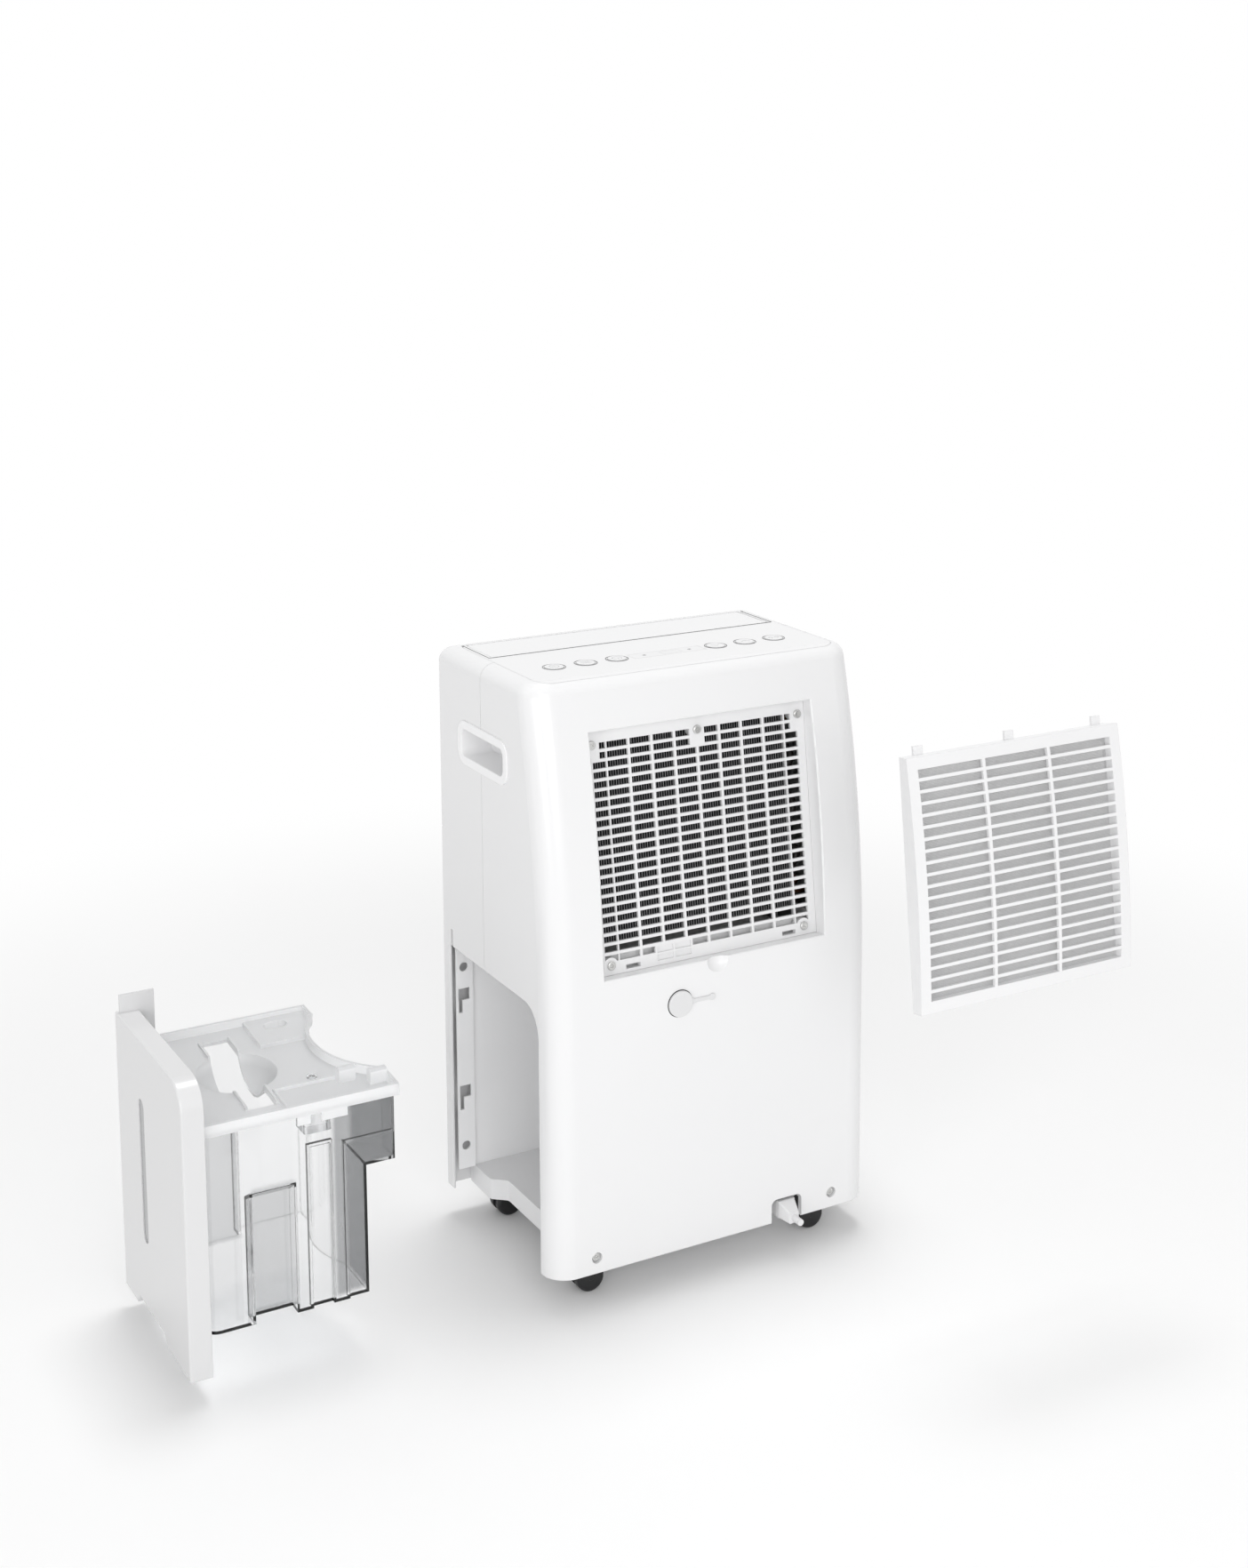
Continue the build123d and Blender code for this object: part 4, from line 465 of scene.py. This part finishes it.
gap_shades = grown("gap_shades", strokes_of, rings, Radius=GAP_SHADE_BEAD, Material=gap_shade_grey)
end_shade_height = cover_top - END_SHADE_SUNK
end_shades = [
    [(x, front, end_shade_height), (x, front + END_SHADE_LENGTH, end_shade_height)]
    for x in (left - END_SHADE_BEAD, right + END_SHADE_BEAD)
]
louver_end_shades = grown("louver_end_shades", strokes_of, end_shades, Radius=END_SHADE_BEAD, Material=gap_shade_grey)
for shade_bead in (gap_shades, louver_end_shades):
    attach(shade_bead, "casing")


# Air filter: a white moulded frame with a fine grey net behind its bars, taken off the back. The net is
# woven of nylon thread, upright and level.
FILTER_COLOUR = (0.83, 0.83, 0.835, 1.0)
NET_COLOUR = (0.66, 0.66, 0.665, 1.0)
NET_PITCH = 0.0011
NET_THREAD = 0.00045
HALF_BACK = -0.5

filter_white = finish_of("filter_white", FILTER_COLOUR, roughness=0.3, edge=0.0004)
net_nylon = finish_of("net_nylon", NET_COLOUR, roughness=0.55, tone=0.1, grain=2500.0)
dress(filter_white, "filter_frame")


def net_tree():
    """Threads both ways over a rectangle, leaning back as the inlet does."""
    tree, given, result = new_group("woven_net", "GeometryNodeTree", {
        "Width": VALUE,
        "Height": VALUE,
        "Pitch": VALUE,
        "Thread": VALUE,
        "Lean": VALUE,
        "Centre": VECTOR,
        "Material": MATERIAL,
    }, {"Geometry": GEOMETRY})

    def threads(across, along, row_axis, long_axis):
        """A row of threads: across is the span they are set over, along is how long each one is."""
        start = add(tree, "ShaderNodeCombineXYZ", {row_axis: worked(tree, "MULTIPLY", across, HALF_BACK)})
        step = add(tree, "ShaderNodeCombineXYZ", {row_axis: given["Pitch"]})
        line = add(tree, "GeometryNodeMeshLine", {
            "Count": worked(tree, "DIVIDE", across, given["Pitch"]),
            "Start Location": start.outputs[0],
            "Offset": step.outputs[0],
        }, mode="OFFSET")
        size = add(tree, "ShaderNodeCombineXYZ", {
            row_axis: given["Thread"],
            long_axis: along,
            "Y": given["Thread"],
        })
        thread = add(tree, "GeometryNodeMeshCube", {"Size": size.outputs[0]})
        row = add(tree, "GeometryNodeInstanceOnPoints", {
            "Points": line.outputs["Mesh"],
            "Instance": thread.outputs["Mesh"],
        })
        return row.outputs["Instances"]

    both = add(tree, "GeometryNodeJoinGeometry")
    for row in (
        threads(given["Width"], given["Height"], "X", "Z"),
        threads(given["Height"], given["Width"], "Z", "X"),
    ):
        tree.links.new(row, both.inputs["Geometry"])
    turn = add(tree, "ShaderNodeCombineXYZ", {"X": given["Lean"]})
    leaning = add(tree, "GeometryNodeTransform", {
        "Geometry": both.outputs["Geometry"],
        "Translation": given["Centre"],
        "Rotation": turn.outputs[0],
    })
    finish_growth(tree, leaning.outputs["Geometry"], given["Material"], result)
    return tree


net_low, net_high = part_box("filter_net")
net_span = net_high - net_low
woven_net = grown(
    "woven_net", net_tree(),
    Width=net_span.x,
    Height=net_span.z / math.cos(INLET_LEAN),
    Pitch=NET_PITCH,
    Thread=NET_THREAD,
    Lean=INLET_LEAN,
    Centre=(net_low + net_high) / 2,
    Material=net_nylon,
)
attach(woven_net, "filter")
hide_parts("filter_net")


# Water tank: a clear polystyrene tub with a frosted lid, a sealed float in it, and the white panel that
# closes the side of the machine, with a slot to read the level by. The near side of the tub's end, its
# pockets and its edges are painted darker as painted shade, and the lid's and the float's edges get a
# painted highlight.
TANK_COLOUR = (0.975, 0.977, 0.98, 1.0)
TANK_END_SHADE_COLOUR = (0.5, 0.505, 0.512, 1.0)
TANK_END_X = 0.369
TANK_NEAR_Y = 0.03
TANK_FLOOR_Z = 0.058
POCKET_SHADE_COLOUR = (0.72, 0.724, 0.73, 1.0)
POCKET_X = (0.405, 0.445)
POCKET_Y = (-0.07, 0.058)
POCKET_TOP = 0.176
SHADE_MASK_SOFTNESS = 0.003
LINE_RADIUS = 0.0014
LINE_SAMPLES = 6
TANK_EDGE_SHADE_COLOUR = (0.16, 0.162, 0.166, 1.0)
CLEAR_FINISH = {"tone": 0.01, "drift": 0.02, "relief": 0.02, "edge": 0.0005}
CLEAR_IOR = 1.49
SHADE_THROUGH = (0.82, 0.825, 0.83, 1.0)
LID_COLOUR = (0.95, 0.953, 0.957, 1.0)
LID_UP_SHADE_COLOUR = (0.7, 0.704, 0.71, 1.0)
EDGE_HIGHLIGHT_COLOUR = (0.97, 0.97, 0.97, 1.0)
LID_SHADE_FROM = 0.3
LID_SHADE_TO = 0.6
FLOAT_COLOUR = (0.93, 0.935, 0.94, 1.0)
PANEL_SHADED_COLOUR = (0.7, 0.7, 0.705, 1.0)
SLOT_COLOUR = (0.36, 0.365, 0.37, 1.0)
BELOW, ABOVE = -1, 1


def make_edge_lines():
    """A mask that is 1 on the edges of a clear moulding and 0 on its faces, where painted shade or a painted
    highlight is laid.
    """
    inputs = {"Radius": VALUE, "Strength": VALUE}
    group, given, result = new_group("edge_lines", "ShaderNodeTree", inputs, {"Mask": VALUE})
    rounded = add(group, "ShaderNodeBevel", {"Radius": given["Radius"]}, samples=LINE_SAMPLES)
    flat = add(group, "ShaderNodeNewGeometry")
    normals = (rounded.outputs["Normal"], flat.outputs["Normal"])
    same = add(group, "ShaderNodeVectorMath", normals, operation="DOT_PRODUCT")
    apart = worked(group, "SUBTRACT", 1.0, same.outputs["Value"])
    mask = worked(group, "MULTIPLY", apart, given["Strength"], clamp=True)
    group.links.new(mask, result["Mask"])
    return group


edge_lines = make_edge_lines()


def end_in_mix(material, share, other):
    """Ends a material in another shader where the share is 1, and in its own shader elsewhere."""
    tree = material.node_tree
    mix = add(tree, "ShaderNodeMixShader", (share, shader_of(material).outputs["BSDF"], other))
    tree.links.new(mix.outputs["Shader"], tree.nodes["Material Output"].inputs["Surface"])


def clear_plastic(name, colour, roughness, clearness, painted_edge_colour, line_strength):
    """A clear moulding whose edges get a painted colour, painted shade or a painted highlight as given, and
    which lets lamps through; returns it with the socket below that edge colour.
    """
    material = finish_of(name, colour, roughness, **CLEAR_FINISH)
    shader = shader_of(material)
    shader.inputs["Transmission Weight"].default_value = clearness
    shader.inputs["IOR"].default_value = CLEAR_IOR
    tree = material.node_tree
    lines = add(tree, "ShaderNodeGroup", {
        "Radius": LINE_RADIUS,
        "Strength": line_strength,
    }, node_tree=edge_lines)
    # Painted shade on the tub's edges and painted highlight on the lid's and the float's: the edge colour is
    # laid over the base colour.
    under_edge_paint = lay_over(tree, shader.inputs["Base Color"], lines.outputs["Mask"], painted_edge_colour)
    open_to_lamps = add(tree, "ShaderNodeBsdfTransparent", {"Color": SHADE_THROUGH})
    shadow = add(tree, "ShaderNodeLightPath").outputs["Is Shadow Ray"]
    end_in_mix(material, shadow, open_to_lamps.outputs["BSDF"])
    return material, under_edge_paint


def beyond(tree, value, limit, side):
    """1 on one side of a limit and 0 on the other, with a soft change between."""
    ramp = add(tree, "ShaderNodeMapRange", {
        "Value": value,
        "From Min": limit - side * SHADE_MASK_SOFTNESS,
        "From Max": limit + side * SHADE_MASK_SOFTNESS,
    }, interpolation_type="SMOOTHSTEP")
    return ramp.outputs["Result"]


def all_of(tree, *masks):
    """The part that every mask covers."""
    covered = masks[0]
    for mask in masks[1:]:
        covered = worked(tree, "MULTIPLY", covered, mask)
    return covered


tank_clear, tank_shade_socket = clear_plastic(
    "tank_clear", TANK_COLOUR,
    roughness=0.02, clearness=1.0, painted_edge_colour=TANK_EDGE_SHADE_COLOUR, line_strength=2.2,
)
tank_tree = tank_clear.node_tree
tank_spot = add(tank_tree, "ShaderNodeTexCoord").outputs["Object"]
spot_x, spot_y, spot_z = add(tank_tree, "ShaderNodeSeparateXYZ", {"Vector": tank_spot}).outputs
# Painted shade: the walls of the two pockets are laid over in a darker grey.
pocket_span = all_of(
    tank_tree,
    beyond(tank_tree, spot_x, POCKET_X[0], ABOVE),
    beyond(tank_tree, spot_x, POCKET_X[1], BELOW),
    beyond(tank_tree, spot_z, POCKET_TOP, BELOW),
)
for limit, side in zip(POCKET_Y, (BELOW, ABOVE)):
    pocket = all_of(tank_tree, pocket_span, beyond(tank_tree, spot_y, limit, side))
    lay_over(tank_tree, tank_shade_socket, pocket, POCKET_SHADE_COLOUR)
# Painted shade: the near side of the tub's end, above its floor, is laid over in dark grey.
painted_end_shade = all_of(
    tank_tree,
    beyond(tank_tree, spot_x, TANK_END_X, BELOW),
    beyond(tank_tree, spot_y, TANK_NEAR_Y, ABOVE),
    beyond(tank_tree, spot_z, TANK_FLOOR_Z, ABOVE),
)
lay_over(tank_tree, tank_shade_socket, painted_end_shade, TANK_END_SHADE_COLOUR)

# Painted shade: the lid's faces that face up, its flat faces and its bowl, are painted darker, and its
# upright faces keep the lid's pale colour.
lid_frosted, lid_shade_socket = clear_plastic(
    "lid_frosted", LID_COLOUR,
    roughness=0.3, clearness=0.45, painted_edge_colour=EDGE_HIGHLIGHT_COLOUR, line_strength=2.0,
)
lid_tree = lid_frosted.node_tree
lid_facing = add(lid_tree, "ShaderNodeTexCoord").outputs["Normal"]
lid_up = add(lid_tree, "ShaderNodeSeparateXYZ", {"Vector": lid_facing}).outputs["Z"]
lid_up_shade = add(lid_tree, "ShaderNodeMapRange", {
    "Value": lid_up,
    "From Min": LID_SHADE_FROM,
    "From Max": LID_SHADE_TO,
})
lay_over(lid_tree, lid_shade_socket, lid_up_shade.outputs["Result"], LID_UP_SHADE_COLOUR)
float_clear, _ = clear_plastic(
    "float_clear", FLOAT_COLOUR,
    roughness=0.1, clearness=0.95, painted_edge_colour=EDGE_HIGHLIGHT_COLOUR, line_strength=1.0,
)
# Painted shade: the panel is the casing's white plastic, given a darker colour than the casing.
panel_painted_shade = finish_of("panel_painted_shade", PANEL_SHADED_COLOUR, **CASING_FINISH)
slot_smoke = finish_of("slot_smoke", SLOT_COLOUR, roughness=0.12)
dress(tank_clear, "tank_body")
dress(lid_frosted, "tank_lid")
dress(float_clear, "tank_float")
dress(panel_painted_shade, "tank_panel")
dress(slot_smoke, "level_window")


# Drain outlet: a pale rubber cap on the spigot with a dark ring round its rim as painted shade in the gap,
# kept to the casing by a strap moulded in one with the cap. The strap ends in a button that is pressed into
# a hole, and it gives when the cap is pulled.
PLUG_COLOUR = (0.72, 0.72, 0.725, 1.0)
DRAIN_SHADE_COLOUR = (0.03, 0.03, 0.032, 1.0)
DRAIN_SHADE_RADIUS = 0.0005
DRAIN_SHADE_SET = 0.6
DRAIN_SHADE_ARC = (198, 522)
DRAIN_SHADE_STEPS = 64
STRAP_HALF_WIDTH = 0.0019
STRAP_LEAST_HALF = 0.0002
STRAP_STATIONS = 48
STRAP_DENSE = 0.3
STRAP_SIDES = 20
STRAP_SQUARENESS = 0.5
STRAP_FLARE = 0.004
STRAP_CROWN = 0.0014
STRAP_LAP = 0.0004

plug_rubber = finish_of("plug_rubber", PLUG_COLOUR, roughness=0.5, relief=0.06)
drain_shade_dark = finish_of("drain_shade_dark", DRAIN_SHADE_COLOUR, roughness=0.6)
dress(bay_plastic_painted_light, "drain_spigot")
dress(plug_rubber, "drain_plug")

strap_low, strap_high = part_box("drain_strap")
cap_low, cap_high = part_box("drain_plug")
casing_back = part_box("back_shell")[1].y
pin_radius = (strap_high.z - strap_low.z) / 2
pin_x = strap_low.x + pin_radius
cap_middle = (cap_low + cap_high) / 2
cap_radius = (cap_high.x - cap_low.x) / 2
cap_x = cap_middle.x - cap_radius
strap_end = cap_x + STRAP_LAP


def strap_half(x):
    """Half the strap's width along X: a round button, a band, and a flare into the cap's rim."""
    button_half = math.sqrt(max(pin_radius**2 - (x - pin_x) ** 2, 0.0))
    flare = STRAP_HALF_WIDTH * max(0.0, 1 - (cap_x - x) / STRAP_FLARE) ** 2
    band = STRAP_HALF_WIDTH if x > pin_x else 0.0
    return max(button_half, band + flare, STRAP_LEAST_HALF)


def squarer(value):
    """A sine or cosine drawn out towards 1, which squares off a round section."""
    return math.copysign(abs(value) ** STRAP_SQUARENESS, value)


strap_form = bmesh.new()
previous = None
for i in range(STRAP_STATIONS + 1):
    share = i / STRAP_STATIONS
    reached = share**2 if share < STRAP_DENSE else (1 + STRAP_DENSE) * share - STRAP_DENSE
    x = strap_low.x + (strap_end - strap_low.x) * reached
    half = strap_half(x)
    section = []
    for side in range(STRAP_SIDES):
        turn = 2 * math.pi * side / STRAP_SIDES
        across = half * squarer(math.cos(turn))
        up = STRAP_CROWN / 2 * (1 + squarer(math.sin(turn)))
        section.append(strap_form.verts.new((x, casing_back + up, cap_middle.z + across)))
    if previous:
        for side in range(STRAP_SIDES):
            after = (side + 1) % STRAP_SIDES
            strap_form.faces.new((previous[side], previous[after], section[after], section[side]))
    else:
        strap_form.faces.new(section)
    previous = section
strap_form.faces.new(previous)
bmesh.ops.recalc_face_normals(strap_form, faces=strap_form.faces)
strap_mesh = bpy.data.meshes.new("cap_strap")
strap_form.to_mesh(strap_mesh)
strap_form.free()
strap_mesh.materials.append(plug_rubber)
strap_mesh.shade_smooth()
cap_strap = put("cap_strap", strap_mesh)
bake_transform(cap_strap)
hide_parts("drain_strap")

# Painted shade: a dark ring round the cap's rim, where the gap to the casing is.
shade_ring = arc(
    cap_radius + DRAIN_SHADE_RADIUS * DRAIN_SHADE_SET, *DRAIN_SHADE_ARC, DRAIN_SHADE_STEPS,
    (cap_middle.x, cap_middle.z),
)
shade_run = [(x, casing_back, z) for x, z in shade_ring]
drain_gap_shade = grown("drain_gap_shade", strokes_of, [shade_run], Radius=DRAIN_SHADE_RADIUS, Material=drain_shade_dark)
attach(drain_gap_shade, "casing")


# Mains lead: a tapered strain relief in the notch at the foot of the back, and the end of the white lead
# that comes out of it, both in soft white plastic.
LEAD_COLOUR = (0.78, 0.78, 0.785, 1.0)

lead_white = finish_of("lead_white", LEAD_COLOUR, roughness=0.4)
dress(lead_white, "strain_relief", "lead_stub")


# Studio: a pale floor that runs out into white, a white surround, three soft lamps, and the camera, which
# looks down on the machine from behind. The floor keeps the shadows, and far from the machine it shows as
# plain white.
FLOOR_COLOUR = (0.92, 0.92, 0.92, 1.0)
FLOOR_RADIUS = 14.0
FLOOR_SIDES = 64
FLOOR_FADE_FROM = 0.75
FLOOR_FADE_TO = 1.5
WORLD_STRENGTH = 0.64
WHITE = (1.0, 1.0, 1.0, 1.0)
LAMP_AIM = Vector((0.0, 0.0, 0.3))
LAMPS = {
    "key": {"place": (0.9, 2.8, 1.3), "size": 2.0, "power": 26.0},
    "top": {"place": (-0.4, -0.7, 5.0), "size": 1.8, "power": 76.0},
    "side": {"place": (3.6, 2.4, 0.9), "size": 1.8, "power": 27.0},
}
CAMERA_PLACE = Vector((1.0143, 1.7885, 1.0623))
CAMERA_TARGET = Vector((0.0035, 0.0005, 0.7426))
CAMERA_ROLL = math.radians(-0.158)
CAMERA_LENS = 50.457
CAMERA_SENSOR = 36.0
CAMERA_SHIFT = (-0.0177, -0.1912)


def seen_directly(tree):
    """1 for what the camera sees, also in gloss and through clear plastic, and 0 for light on its way."""
    path = add(tree, "ShaderNodeLightPath").outputs
    mirrored = worked(tree, "MAXIMUM", path["Is Camera Ray"], path["Is Glossy Ray"])
    return worked(tree, "MAXIMUM", mirrored, path["Is Transmission Ray"])


world = bpy.data.worlds.new("studio")
bpy.context.scene.world = world
world.use_nodes = True
sky = world.node_tree
brightness = add(sky, "ShaderNodeMapRange", {
    "Value": seen_directly(sky),
    "To Min": WORLD_STRENGTH,
    "To Max": 1.0,
})
background = sky.nodes["Background"]
background.inputs["Color"].default_value = WHITE
sky.links.new(brightness.outputs["Result"], background.inputs["Strength"])

floor_mesh = bpy.data.meshes.new("floor")
floor_form = bmesh.new()
bmesh.ops.create_circle(floor_form, cap_ends=True, segments=FLOOR_SIDES, radius=FLOOR_RADIUS)
floor_form.to_mesh(floor_mesh)
floor_form.free()
floor = put("floor", floor_mesh)
floor_paper = finish_of("floor_paper", FLOOR_COLOUR, roughness=0.8, tone=0.004, relief=0.0)
shader_of(floor_paper).inputs["Specular IOR Level"].default_value = 0.0
paper = floor_paper.node_tree
floor_spot = add(paper, "ShaderNodeTexCoord").outputs["Object"]
away = add(paper, "ShaderNodeVectorMath", (floor_spot,), operation="LENGTH")
fade = add(paper, "ShaderNodeMapRange", {
    "Value": away.outputs["Value"],
    "From Min": FLOOR_FADE_FROM,
    "From Max": FLOOR_FADE_TO,
}, interpolation_type="SMOOTHSTEP")
far_white = worked(paper, "MULTIPLY", fade.outputs["Result"], seen_directly(paper))
plain_white = add(paper, "ShaderNodeEmission", {"Color": WHITE, "Strength": 1.0})
end_in_mix(floor_paper, far_white, plain_white.outputs["Emission"])
floor_mesh.materials.append(floor_paper)

for lamp_name, settings in LAMPS.items():
    lamp = bpy.data.lights.new(lamp_name, "AREA")
    lamp.shape = "DISK"
    lamp.size = settings["size"]
    lamp.energy = settings["power"]
    holder = put(lamp_name, lamp)
    holder.location = settings["place"]
    holder.rotation_euler = (LAMP_AIM - holder.location).to_track_quat("-Z", "Y").to_euler()
    holder.visible_camera = False

camera = bpy.data.cameras.new("camera")
camera.lens = CAMERA_LENS
camera.sensor_width = CAMERA_SENSOR
camera.shift_x, camera.shift_y = CAMERA_SHIFT
viewer = put("camera", camera)
viewer.location = CAMERA_PLACE
look = (CAMERA_TARGET - CAMERA_PLACE).to_track_quat("-Z", "Y")
viewer.rotation_euler = (look.to_matrix() @ Matrix.Rotation(CAMERA_ROLL, 3, "Z")).to_euler()
bpy.context.scene.camera = viewer
bpy.context.scene.view_settings.view_transform = "Standard"
